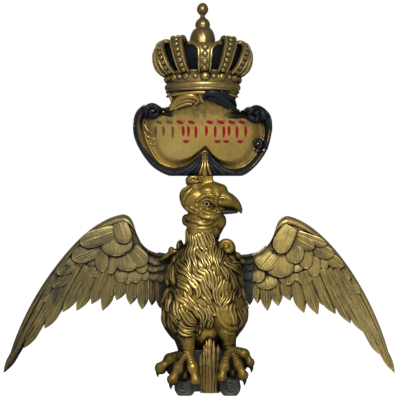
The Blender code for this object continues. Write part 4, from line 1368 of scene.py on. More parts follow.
# %% Tail
# Foot and top of each tail feather across, its top height, and how far forward it lies
TAIL = (
    (5.5, 3, 100, 14), (39.5, 51, 109, 12), (11.5, 10, 117, 20), (34.5, 41.5, 118, 19), (17, 16.5, 128, 24),
    (28.5, 31.5, 127, 24), (22.6, 22, 135, 27),
)


def tail_feather(pile, foot_x, top_x, top_z, forward, seed):
    """An upright blade with furrows, from its foot and its top in millimetres."""
    rows, columns = 44, 15
    v = np.linspace(0, 1, rows)[:, None]
    s = np.linspace(-1, 1, columns)[None, :]
    half = 0.0056 * (0.86 + 0.14 * v) * np.clip(1 - ramp(v, 0.80, 0.20) ** 2, 0.004, 1) ** 0.7
    middle = (foot_x + (top_x - foot_x) * v) / 1000 + 0.0008 * np.sin(v * 7 + seed)
    z = 0.0062 + (top_z / 1000 - 0.0062) * v
    dome = 0.0034 * (1 - s**2) - 0.0016 * furrow(s * 1.5 + 0.5 + 0.2 * np.sin(v * 9 + seed), 2)
    lean = -forward / 1000 - 0.004 * np.sin(pi * v) + 0.010 * v**3
    top = np.stack(np.broadcast_arrays(middle + s * half, lean - dome, z), axis=-1)
    low = np.stack(np.broadcast_arrays(middle + np.array([[0.9, -0.9]]) * half, 0.030, z), axis=-1)
    pile.skin(np.concatenate([top, low], axis=1))


bundle = Pile()
for seed, spot in enumerate(TAIL):
    tail_feather(bundle, *spot, seed)
tail = bundle.piece("tail_feathers")

# %% Claws and eye
horn = Pile()
for claw in CLAWS:
    rope(horn, claw, sides=14, count=14)
# The lower half of the beak, and the dark of the open mouth
lower_beak = ((44, -6, 421, 7), (58, -8, 420.6, 5.6), (72, -9, 420.6, 4.6), (84, -10, 420.6, 3.0))
rope(horn, lower_beak, sides=16, count=16)
rope(horn, ((50, -1, 428, 5), (64, -2, 428.5, 5), (76, -3, 427, 4), (86, -4, 424, 3)), sides=12, count=12)
claws = horn.piece("claws")


def turned(profile, segments, name):
    """A closed turned shape: a ring is drawn, then pulled up and resized step by step, in metres."""
    (radius, z), *rest = profile
    bpy.ops.mesh.primitive_circle_add(vertices=segments, radius=radius, fill_type="NGON")
    obj = bpy.context.object
    obj.name = obj.data.name = name
    edit(obj)
    bpy.ops.transform.translate(value=(0, 0, z))
    bpy.ops.mesh.select_mode(type="FACE")
    for next_radius, next_z in rest:
        bpy.ops.mesh.extrude_region_move(TRANSFORM_OT_translate={"value": (0, 0, next_z - z)})
        share = next_radius / radius
        bpy.ops.transform.resize(value=(share, share, 1), center_override=(0, 0, next_z))
        radius, z = next_radius, next_z
    bpy.ops.mesh.select_all(action="SELECT")
    bpy.ops.mesh.normals_make_consistent(inside=False)
    leave()
    return obj


EYE_PROFILE = (
    (7.0, -4.0), (7.0, -1.4), (6.5, 0.0), (6.0, 0.6), (5.7, 0.6), (5.5, 0.9), (5.2, 1.5),
    (4.7, 1.9), (4.2, 1.7), (4.0, 1.3), (3.9, 0.9), (3.6, 0.7), (0.3, 0.6),
)
eye_ring = turned([(r / 1000, z / 1000) for r, z in EYE_PROFILE], 40, "eye_ring")


def mark(obj, name, values):
    """Gives an object a value at every point."""
    layer = obj.data.attributes.get(name) or obj.data.attributes.new(name, "FLOAT", "POINT")
    layer.data.foreach_set("value", np.asarray(values, np.float32).ravel())


far = np.array([vertex.co.xy.length * 1000 for vertex in eye_ring.data.vertices])
mark(eye_ring, "paint", 1.5 * (far < 3.95))
eye_place = Matrix.Translation((EYE_X / 1000, EYE_Y + 0.0008, EYE_Z / 1000))
eye_ring.data.transform(eye_place @ Matrix.Rotation(radians(90), 4, "X"))
print("eye:", len(eye_ring.data.polygons), "faces; claws:", len(claws.data.polygons))

# %% [markdown]
# ## The scroll foot
#
# Behind the claws stands a plinth whose two ends roll up into drums, painted a greenish grey. The
# drums are plain cylinders on their sides with a spiral band laid on the front. Remeshed together
# they get the soft edges of the real one.

# %% Plinth and drums
PLINTH_BACK_Y, GROUND_Z = 0.069, 0.0001
band = Pile()
for x, hand in ((-34.5, 1), (69, -1)):
    bpy.ops.mesh.primitive_cylinder_add(
        vertices=72, radius=0.0245, depth=0.116,
        location=(x / 1000, 0.031, 0.0205), rotation=(radians(90), 0, 0),
    )
    CLAY.append(bpy.context.object)
    middle = x - 3 * (x < 0)
    turn = np.linspace(0, 1, 26)
    reach, angle = 18.5 * (1 - 0.84 * turn), radians(-70) + hand * turn * 2 * pi * 1.6
    spiral = []
    for r, a, t in zip(reach, angle, turn):
        spiral.append((middle + r * cos(a), -26 - 3 * t, 20 + r * sin(a), 2.6 - 1.0 * t))
    rope(band, spiral, sides=12, count=60)
    egg((middle, -28, 20), 4.4)
slab((-46, 2, 14), (86, 79, 104))
slab((-30, -10, 9), (64, 60, 30))
egg((-40, -4, 52), (22, 24, 26))
egg((80, -4, 58), (20, 24, 30))
plinth = pressed(band, "scroll_foot", voxel=0.0017, soften=2)
cut_flat(plinth, ((0, PLINTH_BACK_Y, 0), (0, 1, 0)), ((0, 0, GROUND_Z), (0, 0, -1)))
print("plinth:", len(plinth.data.polygons), "faces")

# %% [markdown]
# ## The shield
#
# The shield is one closed skin of rings, like a fried egg seen from the front: the rolled border
# runs along the outline, a gilt fillet inside it, and the field swells forward in the middle. The
# lower edge of the field is heart shaped. The same rings know where they are, so they also carry
# the mark that says where the blue-black paint lies.

# %% Outline of the shield and of its field
# Millimetres across and up, from under the crown down the left side and back up the right side
SHIELD_OUTLINE = (
    (-76, 720), (-76, 692), (-67, 675), (-72, 663), (-90, 660), (-110, 668), (-130, 663),
    (-145, 649), (-153, 625), (-153, 602), (-147, 581), (-137, 561), (-123, 540), (-105, 521),
    (-78, 506), (-50, 500), (-20, 500), (20, 500), (64, 500), (98, 504), (120, 518), (140, 540),
    (154, 563), (162, 589), (165, 613), (161, 635), (148, 651), (130, 659), (108, 658), (92, 653),
    (83, 662), (81, 676), (87, 694), (87, 720),
)
FIELD_OUTLINE = (
    (-61, 664), (-90, 650), (-110, 653), (-127, 641), (-134, 623), (-130, 601), (-122, 575),
    (-108, 548), (-91, 530), (-64, 520), (-34, 525), (-14, 538), (0, 549), (12, 556), (25, 548),
    (38, 533), (56, 521), (79, 517), (102, 523), (119, 536), (134, 556), (144, 576), (150, 597),
    (149, 617), (140, 635), (124, 645), (104, 645), (84, 650), (66, 658), (44, 672), (12, 684),
    (-30, 684),
)
SHIELD_MIDDLE = np.array((6.4, 600.0))
CROWN_FOOT = Vector((0.006, 0.020, 0.692))
CROWN_LEAN = radians(7)


def crown_frame():
    """Places the crown's own space, z up its axis, on the neck of the shield."""
    return Matrix.Translation(CROWN_FOOT) @ Matrix.Rotation(-CROWN_LEAN, 4, "X")


def reach_at(outline, angles):
    """How far a closed outline lies from the shield's middle, in each direction."""
    closed = smooth_line([(*spot, 0) for spot in outline + outline[:1]], 1400)[:, :2] - SHIELD_MIDDLE
    its_angles = np.unwrap(np.arctan2(closed[:, 1], closed[:, 0]))
    if its_angles[-1] < its_angles[0]:
        its_angles, closed = its_angles[::-1], closed[::-1]
    order = np.argsort(np.mod(its_angles, 2 * pi))
    return np.interp(angles, np.mod(its_angles, 2 * pi)[order], np.hypot(*closed[order].T), period=2 * pi)


# %% The shield's rings
def shield():
    """The rings of the shield, from the back round to the middle of its field, and their paint."""
    count = 420
    angles = np.linspace(0, 2 * pi, count, endpoint=False)
    outer, inner = reach_at(SHIELD_OUTLINE, angles), reach_at(FIELD_OUTLINE, angles)
    inner = np.minimum(inner, outer - 4)
    way = np.stack([np.cos(angles), np.sin(angles)], axis=-1)
    up = np.degrees(angles)
    neck = ramp(up, 26, 16) * ramp(up, 155, -15)
    neck = neck * neck * (3 - 2 * neck)
    left = ramp(up, 145, 10) * ramp(up, 205, -14)
    rings, paint = [], []

    def ring(reach, y, mark):
        spot = SHIELD_MIDDLE + way * np.asarray(reach)[:, None]
        rings.append(np.stack([spot[:, 0], np.broadcast_to(y, count), spot[:, 1]], axis=-1) / 1000)
        paint.append(np.broadcast_to(mark, count))

    def field(reach):
        """The swelling field at a reach: it leans back above the words, up to the crown."""
        spot = SHIELD_MIDDLE + way * reach[:, None]
        x, z = (spot[:, 0] - 6) / 150, spot[:, 1]
        high = -16.0 + 12.0 * x**2 + 9.0 * ((z - 600) / 95) ** 2 * (z < 600)
        return high + 7.0 * ramp(z, 625, 75) ** 2

    ring(outer * 0.92, 55.0, 1.0)
    ring(outer * 0.985, 52.0, 1.0)
    ring(outer, 46.0, 1.0)
    for y in (34.0, 22.0, 12.0, 5.0):
        ring(outer, y, 1 - neck)
    for t in np.linspace(0.03, 1, 20):
        roll = np.sin(pi * t**0.8)
        edge = outer + (inner - outer) * t
        neck_high = 1.0 + (field(inner) - 1.0) * np.sin(pi * t / 2)
        high = (2.0 - 14.0 * roll) * (1 - neck) + neck_high * neck
        ring(edge, high, (1 - neck) * (t < 0.90 - 0.40 * left))
    for t in np.linspace(0, 1, 7)[1:]:
        lip = -3.6 * sin(pi * t)
        ring(inner - 7 * t, (1.2 + lip + 1.0 * t) * (1 - neck) + field(inner - 7 * t) * neck, 0.0)
    start = inner - 7
    cove = 24 - 15 * np.exp(-(((up - 270) / 22) ** 2))
    for t in np.linspace(0, 1, 34)[1:-1]:
        reach = start * (1 - t)
        share = np.clip((start - reach) / cove, 0, 1)
        share = share * share * (3 - 2 * share)
        ring(reach, (2.2 * (1 - share) + field(reach) * share) * (1 - neck) + field(reach) * neck, 0.0)
    return np.array(rings), np.array(paint)


def neck_flare(points):
    """The upper part of the shield leans forward to carry the crown's front."""
    rise = ramp(points[..., 2], 0.640, 0.065)
    front = ramp(points[..., 1], 0.040, -0.040)
    width = np.clip(1 - ((points[..., 0] - CROWN_FOOT.x) / 0.095) ** 2, 0, 1)
    points = points.copy()
    points[..., 1] -= 0.036 * rise * rise * front * width
    return points


rings, paint = shield()
plate = Pile()
plate.skin(neck_flare(rings))
shield_plate = plate.piece("shield")

# The ridge below the field stays gilt between the black leaves
spots = rings.reshape(-1, 3) * 1000
ridge = np.abs(spots[:, 0] - 10.5) < 3.5 + np.clip((556 - spots[:, 2]) * 0.20, 0, 12)
black = np.where(ridge & (spots[:, 2] < 560), 0, paint.ravel())
mark(shield_plate, "paint", np.concatenate([black, [1.0, 0.0]]))
SHIELD_SKIN = BVHTree.FromObject(shield_plate, bpy.context.evaluated_depsgraph_get())
print("shield:", len(shield_plate.data.polygons), "faces")


# %% Ropes and leaves laid on the shield
def shield_front(x, z):
    """How far back the front of the shield lies at a place of the front view, in metres."""
    hit = SHIELD_SKIN.ray_cast(Vector((x, VIEW_FROM_Y, z)), STRAIGHT_BACK)[0]
    return -0.004 if hit is None else hit.y


def laid(pile, line, out=0.35, count=None):
    """A rope over the shield's front, from millimetres across, up, radius and, if given, extra height."""
    count = count or 6 * len(line)
    steps = smooth_line([(x, z, 0, *(rest + [0])[:2]) for x, z, *rest in line], count)
    stations = []
    for x, z, _, radius, extra in steps:
        y = shield_front(x / 1000, z / 1000) - (radius * out + extra) / 1000
        stations.append((x / 1000, y, z / 1000, radius / 1000))
    pile.skin(rope_rings(stations, count=count))


def rolled(x, z, reach, turns, start, hand, thick, thin, rise):
    """The line of a scroll that winds inward and stands out more and more."""
    t = np.linspace(0, 1, 20)
    r, a = reach * (1 - 0.84 * t), radians(start) + hand * t * 2 * pi * turns
    radius = thick + (thin - thick) * t
    return np.column_stack([x + r * np.cos(a), z + r * np.sin(a), radius, rise * t]).tolist()


def boss(pile, x, z, radius, rise):
    """A flat round lump that fills the middle of a scroll."""
    y = shield_front(x / 1000, z / 1000) - rise / 1000
    turn = np.linspace(0, 2 * pi, 40, endpoint=False)
    rings = []
    for share, deep in ((0.9, 26), (1.0, 14), (1.0, 3), (0.93, 0.8), (0.75, 0), (0.4, -1), (0.1, -1.4)):
        across, up = radius * share * np.cos(turn) / 1000, radius * share * np.sin(turn) / 1000
        rings.append(np.column_stack([x / 1000 + across, np.full(40, y + deep / 1000), z / 1000 + up]))
    pile.skin(rings)


black_work, gilt_work = Pile(), Pile()
boss(black_work, -107, 649, 17, 2)
boss(black_work, 127, 643, 19, 2)
boss(black_work, 131, 577, 11, 1)
laid(black_work, rolled(-108, 650, 17, 1.35, 200, -1, 7.5, 4.0, 7), count=70)
laid(black_work, rolled(127, 643, 19, 1.35, -15, 1, 8.0, 4.2, 7), count=70)
laid(black_work, rolled(131, 577, 11, 1.2, -80, 1, 5.0, 3.0, 5), count=50)
# Leaf fingers on the rolls
for line in (
    ((-98, 664, 2.5), (-90, 657, 3.5), (-84, 650, 2.5)),
    ((-128, 664, 3), (-140, 652, 4), (-148, 636, 3.5), (-150, 618, 2.5)),
    ((112, 660, 2.5), (104, 654, 3.5), (104, 645, 2.5)),
    ((146, 656, 3), (157, 642, 4), (162, 624, 3.5), (163, 604, 2.5)),
    ((140, 590, 3), (150, 580, 4), (153, 566, 3)), ((124, 565, 3), (134, 560, 4), (146, 562, 3)),
    # Leaves that rise to the middle of the lower edge
    ((6, 552, 2.5), (-2, 543, 4.5), (-13, 530, 6), (-30, 517, 6.5), (-54, 510, 5)),
    ((5, 546, 2), (-4, 532, 4), (-15, 520, 5), (-32, 509, 5)), ((5, 538, 2), (-2, 524, 4), (-10, 512, 4.5)),
    ((17, 552, 2.5), (27, 542, 4.5), (38, 530, 6), (54, 517, 6.5), (78, 509, 5)),
    ((17, 546, 2), (28, 532, 4), (40, 520, 5), (56, 509, 5)), ((18, 538, 2), (26, 524, 4), (36, 511, 4.5)),
    # The comma leaf under the crown
    ((10, 678, 3), (12, 689, 6), (24, 693, 9), (38, 690, 10), (54, 680, 9.5), (68, 666, 7),
     (80, 656, 4), (92, 651, 2)),
    ((24, 681, 7), (40, 678, 7), (56, 668, 6), (68, 657, 3)),
    ((50, 694, 5), (64, 686, 6), (76, 676, 5), (82, 664, 3)),
):
    laid(black_work, line)
for line in (
    ((12, 554, 2), (12, 538, 3.4), (11, 522, 5), (10, 507, 7)), ((8, 540, 1.5), (4, 522, 3), (-1, 507, 4)),
    ((16, 540, 1.5), (19, 522, 3), (24, 507, 4)),
    # The gilt leaf under the crown and its curl
    ((-68, 654, 3), (-60, 668, 6), (-46, 680, 7.5), (-28, 686, 8), (-12, 684, 7), (-4, 676, 5),
     (-9, 669, 4)),
    ((-63, 656, 3), (-52, 668, 5.5), (-38, 675, 6.5), (-24, 677, 6), (-14, 674, 4)),
    ((-56, 657, 2.5), (-44, 664, 4.5), (-31, 668, 5), (-20, 668, 3.5)),
    ((-1, 692, 3), (1, 682, 3.4), (3, 673, 2.4)), ((6, 690, 2), (4, 681, 2.2), (8, 672, 1.8)),
    ((-72, 690, 3.4), (-66, 680, 3.8), (-64, 670, 3.0), (-70, 662, 2.0)),
    # A thin moulding under the ring of the crown
    ((-75, 685, 3), (-52, 690, 4), (0, 694, 4.4), (58, 690, 4), (85, 685, 3)),
):
    laid(gilt_work, line)
# Small flat leaves in the left lobe
for line in (
    ((-127, 620, 2), (-121, 609, 4), (-110, 602, 3)), ((-127, 602, 2), (-118, 592, 4), (-106, 588, 3)),
    ((-122, 584, 2), (-114, 577, 3.6), (-103, 576, 2.6)),
):
    laid(gilt_work, line, -0.55)
black_leaves, gilt_leaves = black_work.piece("black_leaves"), gilt_work.piece("gilt_leaves")
for obj, value in ((black_leaves, 1), (gilt_leaves, 0)):
    mark(obj, "paint", np.full(len(obj.data.vertices), value))
print("leaves:", len(black_leaves.data.polygons) + len(gilt_leaves.data.polygons), "faces")

# %% [markdown]
# ### Rows of strokes
#
# Where the real shield bears words, this one has rows of shallow painted strokes that spell
# nothing: slanting dabs above, upright strokes below them, and a few dabs at the foot. The first
# two groups are a worn olive brown, the others a deep red.

# %% Strokes
def stroke(pile, line):
    """A thin blade of paint that follows the field, from millimetres across and up, and its half width."""
    steps = smooth_line([(x, z, 0, half) for x, z, half in line], 16)
    path = steps[:, :2]
    along = unit(np.gradient(path, axis=0))
    across = np.column_stack([-along[:, 1], along[:, 0]])
    half = steps[:, 3] * np.sin(np.linspace(0.16, pi - 0.16, 16)) ** 0.30
    rings = []
    for spot, side, wide in zip(path, across, half):
        ring = []
        for share, rise in ((-1, -0.5), (-0.9, 0.45), (0, 0.6), (0.9, 0.45), (1, -0.5)):
            x, z = (spot + side * wide * share) / 1000
            ring.append((x, shield_front(x, z) - rise / 1000, z))
        rings.append(ring)
    pile.skin(rings)


olive_strokes, red_strokes = Pile(), Pile()
for i, x in enumerate((-94, -70, -46, -20, 22, 48, 72, 96)):
    pile = olive_strokes if i < 2 else red_strokes
    stroke(pile, ((x - 8, 628, 3.4), (x, 626, 4.4), (x + 8, 623.5, 3.2)))
for i, x in enumerate((-102, -84, -63, -39, -27, -10, 14, 34, 54, 66, 84, 104)):
    pile = olive_strokes if i < 3 else red_strokes
    low = 592 + 3 * sin(i * 2.3)
    stroke(pile, ((x, 617, 3.9), (x + 0.8, 605, 3.7), (x, low, 2.6)))
for x in (-32, 40, 60, 92):
    stroke(red_strokes, ((x - 7, 583, 3.0), (x, 581.5, 4.0), (x + 7, 583.5, 2.6)))
olive_strokes, red_strokes = olive_strokes.piece("olive_strokes"), red_strokes.piece("red_strokes")

# The shield is cut flat under the crown and on the bird's head
for obj in (shield_plate, black_leaves, gilt_leaves):
    cut_off(obj, crown_frame() @ Vector((0, 0, -GAP)), crown_frame().to_3x3() @ Vector((0, 0, 1)))
    cut_off(obj, (0, 0, BIRD_TOP_Z + GAP), (0, 0, -1))
print("strokes and cuts done")

# %% [markdown]
# ## The crown
#
# The crown is flattened from front to back, and cut flat behind. Its ring, hollow and jewelled band
# are turned, which means a profile spun round an axis and then squashed. Seven arched straps spring
# from the band. Each is a strip with two raised borders, swept along an arch, with a row of pearls
# in its channel. Between them one sees the blue-black lining.

# %% Ring, band and lining
CROWN_SQUASH = 0.80
CROWN_BACK_Y = 0.060
CORE_PROFILE = (
    (77.0, 0.0), (82.0, 0.3), (84.6, 2.4), (84.4, 4.8), (82.6, 6.2), (83.4, 7.4), (86.2, 9.6),
    (87.4, 13.0), (87.0, 16.8), (85.0, 19.6), (82.8, 20.8), (82.4, 21.8), (83.0, 23.0),
    (83.4, 30.0), (84.4, 38.0), (85.8, 40.4), (87.8, 41.0), (89.4, 42.6), (89.6, 44.8),
    (88.2, 46.4), (86.0, 47.0), (85.0, 49.0), (91.0, 54.0), (98.0, 63.0), (101.0, 72.0),
    (101.0, 81.0), (101.4, 89.0), (99.6, 97.0), (95.0, 104.0), (86.0, 108.5), (74.0, 107.5),
    (60.0, 102.0), (46.0, 101.0), (38.0, 102.0), (34.0, 105.8), (33.4, 105.9),
)
core = turned([(r / 1000, z / 1000) for r, z in CORE_PROFILE], 160, "crown_band")
core.data.transform(Matrix.Diagonal((1, CROWN_SQUASH, 1, 1)))
points = read_rows(core.data.vertices, "co", 3, np.float64) * 1000
far = np.hypot(points[:, 0], points[:, 1] / CROWN_SQUASH)
mark(core, "paint", (points[:, 2] > 46.8) & (far > 37))
print("crown band:", len(core.data.polygons), "faces")

# %% Straps
STRAP_LINE = (
    (86.0, 39.0), (95.0, 44.5), (105.0, 55.0), (111.0, 71.0), (112.0, 90.0), (107.0, 105.5),
    (97.5, 115.5), (85.0, 115.5), (73.0, 107.0), (57.0, 99.0), (34.0, 96.0),
)
STRAPS = ((-82, 0.98), (-54, 1.03), (-27.5, 1.09), (2.5, 0.90), (29.5, 1.08), (56, 1.0), (84, 0.98))


def strap_line(degrees, height, count):
    """Points along the middle of a strap, the way across it, and the way out from it."""
    line = smooth_line([(r / 1000, z / 1000, 0) for r, z in STRAP_LINE], count)
    radius, z = line[:, 0], line[:, 1]
    outside = np.arange(count) < np.argmax(z)
    rise = np.where(outside, ramp(z, 0.040, 0.075), 1.0)
    spread = 0.36 if abs(degrees) < 80 else 0.0
    around = np.radians(degrees) * (1 + spread * rise**2)
    x, y = radius * np.sin(around), -CROWN_SQUASH * radius * np.cos(around)
    spot = np.stack([x, y, 0.040 + (z - 0.040) * height], axis=-1)
    across = unit(np.stack([np.cos(around), CROWN_SQUASH * np.sin(around), np.zeros(count)], axis=-1))
    along = unit(np.gradient(spot, axis=0))
    return spot, across, unit(np.cross(across, along)), radius


def strap(pile, degrees, height):
    """A strip with two raised borders along an arch. The one in front is wider toward its top."""
    count = 64
    spot, across, out, radius = strap_line(degrees, height, count)
    u = np.linspace(-1, 1, 31)[None, :]
    share = np.linspace(0, 1, count)[:, None]
    wide = 0.0160 * (0.76 + 0.24 * np.clip(share / 0.40, 0, 1)) * np.clip(radius[:, None] / 0.090, 0.45, 1)
    if abs(degrees) < 5:
        flare = ramp(share, 0.37, 0.22)
        wide = 0.0150 + 0.0045 * np.clip(share / 0.5, 0, 1) + 0.0003 * np.cos(share * 40)
        wide = wide * (1 + 1.05 * flare**2)
    border = np.exp(-(((np.abs(u) - 0.80) / 0.145) ** 4))
    height_of = -0.0016 + 0.0046 * border - 0.0012 * ramp(np.abs(u), 0.93, 0.07)
    line = np.exp(-(((np.abs(u) - 0.60) / 0.035) ** 2)) * 0.0007
    rise = (height_of - line) * np.clip(wide / 0.0148, 0.6, 1)
    under = (np.array([[1, -1]]) * wide * 0.97)[..., None]
    top = spot[:, None] + across[:, None] * (u * wide)[..., None] + out[:, None] * rise[..., None]
    low = spot[:, None] + across[:, None] * under - out[:, None] * 0.0068
    pile.skin(np.concatenate([top, low], axis=1))


def pearl(pile, place, across, out, size, high=0.72):
    """A squashed ball with its axis pointing out."""
    rings = []
    for a in np.linspace(-0.35, 1, 8)[:-1] * pi / 2:
        turn = np.linspace(0, 2 * pi, 16, endpoint=False)
        other = np.cross(across, out)
        flat = across[None] * np.cos(turn)[:, None] + other[None] * np.sin(turn)[:, None]
        rings.append(place + flat * size * cos(a) + out * size * high * sin(a))
    pile.skin(np.array(rings))


straps, pearls = Pile(), Pile()
for degrees, height in STRAPS:
    strap(straps, degrees, height)
    front = abs(degrees) < 5
    spot, across, out, radius = strap_line(degrees, height, 200)
    run = run_along(spot)
    step, size = (0.0172, 0.0082) if front else (0.0130, 0.0062)
    place = 0.013 if front else 0.009
    while place < run[-1] * 0.74:
        i = int(np.searchsorted(run, place))
        if radius[i] < 0.080 or (front and radius[i] < 0.104 and place > 0.07):
            break
        grown = 0.72 + 3.4 * place if front else 1.0
        pearl(pearls, spot[i] - out[i] * 0.0010, across[i], out[i], size * grown)
        place += step
strap_piece = straps.piece("crown_straps")
print("straps:", len(strap_piece.data.polygons), "faces")

# %% Jewels of the band
BAND_RADIUS, BAND_Z = 0.0838, 0.0315


def on_band(degrees):
    """A spot on the band, the way across it and the way out from it."""
    a = radians(degrees)
    spot = np.array((BAND_RADIUS * sin(a), -CROWN_SQUASH * BAND_RADIUS * cos(a), BAND_Z))
    across = unit(np.array((cos(a), CROWN_SQUASH * sin(a), 0)))
    return spot, across, unit(np.array((sin(a) * CROWN_SQUASH, -cos(a), 0.05)))


# Round jewels under the straps, and pointed square ones between them
for degrees in (-79, -51.5, -26.6, 4, 32, 62, 88):
    place, across, out = on_band(degrees)
    size = 0.0106 if degrees == 4 else 0.0090
    pearl(pearls, place, across, out, size, 0.75)
    pearl(pearls, place - out * 0.0005, across, out, size + 0.0018, 0.22)
for degrees in (-65, -38.5, -11.3, 17.5, 46, 75):
    place, across, out = on_band(degrees)
    other = np.cross(across, out)
    corners = [across * cos(b) + other * sin(b) for b in np.arange(4) * pi / 2]
    rings = []
    for size, high in ((8.0, -1.0), (8.0, 0.8), (6.8, 2.2), (3.4, 4.8), (0.5, 5.8)):
        rings.append([place + corner * size / 1000 + out * high / 1000 for corner in corners])
    pearls.skin(rings)
pearl_piece = pearls.piece("crown_pearls")
for obj in (core, strap_piece, pearl_piece):
    obj.data.transform(crown_frame())
    cut_off(obj, (0, CROWN_BACK_Y, 0), (0, 1, 0))
print("pearls and jewels:", len(pearl_piece.data.polygons), "faces")

# %% [markdown]
# ## The knob
#
# The knob was turned on a lathe: a dome, a smaller dome, a neck and an egg. It is drawn the same
# way, as a ring that is pulled up through the profile, with more steps where the curve is tight.

# %% Knob
FINIAL_PROFILE = (
    (27.0, 106.3), (29.2, 113), (29.6, 120), (29.4, 127), (28.2, 134), (26.2, 140.5), (23.6, 146),
    (20.4, 150), (17.6, 152.8), (16.6, 154.5), (17.0, 157), (17.2, 160.5), (16.4, 165),
    (14.2, 169.5), (11.2, 173), (8.2, 175.6), (6.4, 177.6), (5.3, 180), (5.6, 182.4), (7.6, 184.6),
    (10.2, 187.6), (12.4, 191.4), (13.3, 195.4), (12.9, 200), (11.2, 204.4), (8.6, 208),
    (5.2, 210.6), (1.5, 211.8),
)
line = smooth_line([(r / 1000, z / 1000, 0) for r, z in FINIAL_PROFILE], 80)
knob = turned([(r, z) for r, z, _ in line], 72, "knob")
for vertex in knob.data.vertices:
    x, y, z = vertex.co
    cut = 0.988 + 0.012 * sin(11 * atan2(y, x) + 2.5 * sin(z * 90))
    vertex.co = (x * cut, y * cut, z)
knob.data.transform(crown_frame())
print("knob:", len(knob.data.polygons), "faces")

# %% [markdown]
# ## Hollows and edges
#
# Now everything stands, the values of the aged gilding can be measured. From every point a few rays
# feel how closely the carving surrounds it: many hits mean a hollow, which gets dirt and painted
# shade. Surfaces turned away from the front and from above get painted shade too, and so do the
# flanks, legs and other places listed below; some places get painted highlights. Edges come from
# how the neighbouring points fall away below the normal. Both are smoothed a little along the surface.

# %% Pieces and their finishes
# Each piece with the node that it belongs to and its finish
PIECES = [
    (wings["left_wing"], "left_wing", "left_wing"),
    (wings["right_wing"], "right_wing", "right_wing"),
    (bird, "eagle", "eagle"),
    (breast_locks, "eagle", "locks"),
    (under_locks, "eagle", "locks"),
    (roots[0], "eagle", "left_root"),
    (roots[1], "eagle", "right_root"),
    (tail, "eagle", "tail"),
    (claws, "eagle", "horn"),
    (eye_ring, "eagle", "eagle"),
    (plinth, "eagle", "plinth"),
    (shield_plate, "cartouche", "shield"),
    (black_leaves, "cartouche", "shield"),
    (gilt_leaves, "cartouche", "shield"),
    (olive_strokes, "cartouche", "olive"),
    (red_strokes, "cartouche", "red"),
    (core, "crown", "crown"),
    (strap_piece, "crown", "crown"),
    (pearl_piece, "crown", "crown"),
    (knob, "finial", "finial"),
]
print(len(PIECES), "pieces")


# %% Where painted shade and painted highlights lie, and where the gilding is missing
# Further back than anything reaches, in millimetres
NEVER = 99


def ungilded(points, normals, piece, node):
    """The backs: all that lies at the wall, and on wings, shield and crown all that faces it."""
    y = points[:, 1] * 1000
    wall = {"eagle": 68, "cartouche": 54, "crown": 59.5}.get(node, NEVER)
    # Out on the wings the backs of the short feathers lie deeper
    beyond = np.where(("wing" in node) & (np.abs(points[:, 0]) > 0.150), 30, 44)
    facing = ramp(normals[:, 1], 0.10, 0.2) * (y > beyond)
    if node in ("eagle", "finial") and "wing_root" not in piece:
        facing = 0 * facing
    return np.maximum(y > wall, facing)


# Millimetres up the bird, and how much painted shade lies there: most at the legs and under the chin
PAINTED_SHADE_AT_HEIGHT = (
    (0, 0.03), (60, 0.03), (90, 0.16), (125, 0.25), (160, 0), (340, 0), (385, 0.06), (400, 0.20),
    (420, 0.17), (503, 0.11),
)


def painted_shade_and_eye_tone(points, piece, node):
    """Painted shade on flanks, neck sides, legs and feet, crotch, under the chin, behind the legs and on
    the shield's top and right; the left wing darker to its tip, the right one darker by the body and
    lighter at its tip; a dark pupil in a light ring.
    """
    x, z = points[:, 0] * 1000, points[:, 2] * 1000
    if piece == "shield":
        right = 0.10 * ramp(x, 20, 90) * (z < 640)
        return 0.45 * ramp(z, 585, 55) + right
    if node == "left_wing":
        return 0.34 * ramp(-x, 280, 130)
    if node == "right_wing":
        inner = 0.14 * ramp(x, 210, -70) * ramp(z, 300, -30)
        return inner - 0.12 * ramp(x, 320, 80)
    if node != "eagle":
        return 0.0
    # Painted shade at the sides outside a free middle band, by height, in the crotch and on the plinth
    # behind the legs; the pupil darker and the ring round it lighter
    free = np.interp(z, (110, 150, 180, 230, 290, 345, 400, 440), (26, 42, 54, 50, 34, 17, 32, 42))
    level = np.interp(z, *zip(*PAINTED_SHADE_AT_HEIGHT)) * (piece != "tail_feathers")
    crotch_shade = 0.03 * np.exp(-((x - 8) / 24) ** 2 - ((z - 150) / 22) ** 2)
    from_eye = np.hypot(x - EYE_X, z - EYE_Z)
    eye = 1.2 * (from_eye < 3.8) - 0.5 * ((from_eye > 4.1) & (from_eye < 7.2))
    flank = np.where(x > 8, 0.31, 0.38) * np.clip((np.abs(x - 8) - free) / 22, 0, 1)
    shadow_behind_legs = 0.40 * ramp(z, 42, 16) * (piece == "scroll_foot")
    return flank + level + crotch_shade + eye + shadow_behind_legs


def painted_highlights_and_iris(points, node):
    """Painted highlights on the neck and breast, the right wing's tip and low on the left of the shield,
    and the light ring round the pupil.
    """
    x, z = points[:, 0] * 1000, points[:, 2] * 1000
    if node == "eagle":
        neck = 0.60 * np.exp(-((x - 2) / 24) ** 2 - ((z - 328) / 55) ** 2)
        from_eye = np.hypot(x - EYE_X, z - EYE_Z)
        neck += 0.5 * ((from_eye > 4.1) & (from_eye < 6.4))
        return neck + 0.20 * np.exp(-((x - 4) / 42) ** 2 - ((z - 238) / 38) ** 2)
    if node == "right_wing":
        return 0.35 * ramp(x, 320, 90)
    if node == "cartouche":
        return 0.30 * np.exp(-((x + 62) / 50) ** 2 - ((z - 565) / 26) ** 2)
    return 0.0


# %% How hollow, how much of an edge
everything, corners = [], []
for obj, _, _ in PIECES:
    start = len(everything)
    everything += read_rows(obj.data.vertices, "co", 3).tolist()
    corners += [tuple(i + start for i in polygon.vertices) for polygon in obj.data.polygons]
AROUND = BVHTree.FromPolygons(everything, corners)
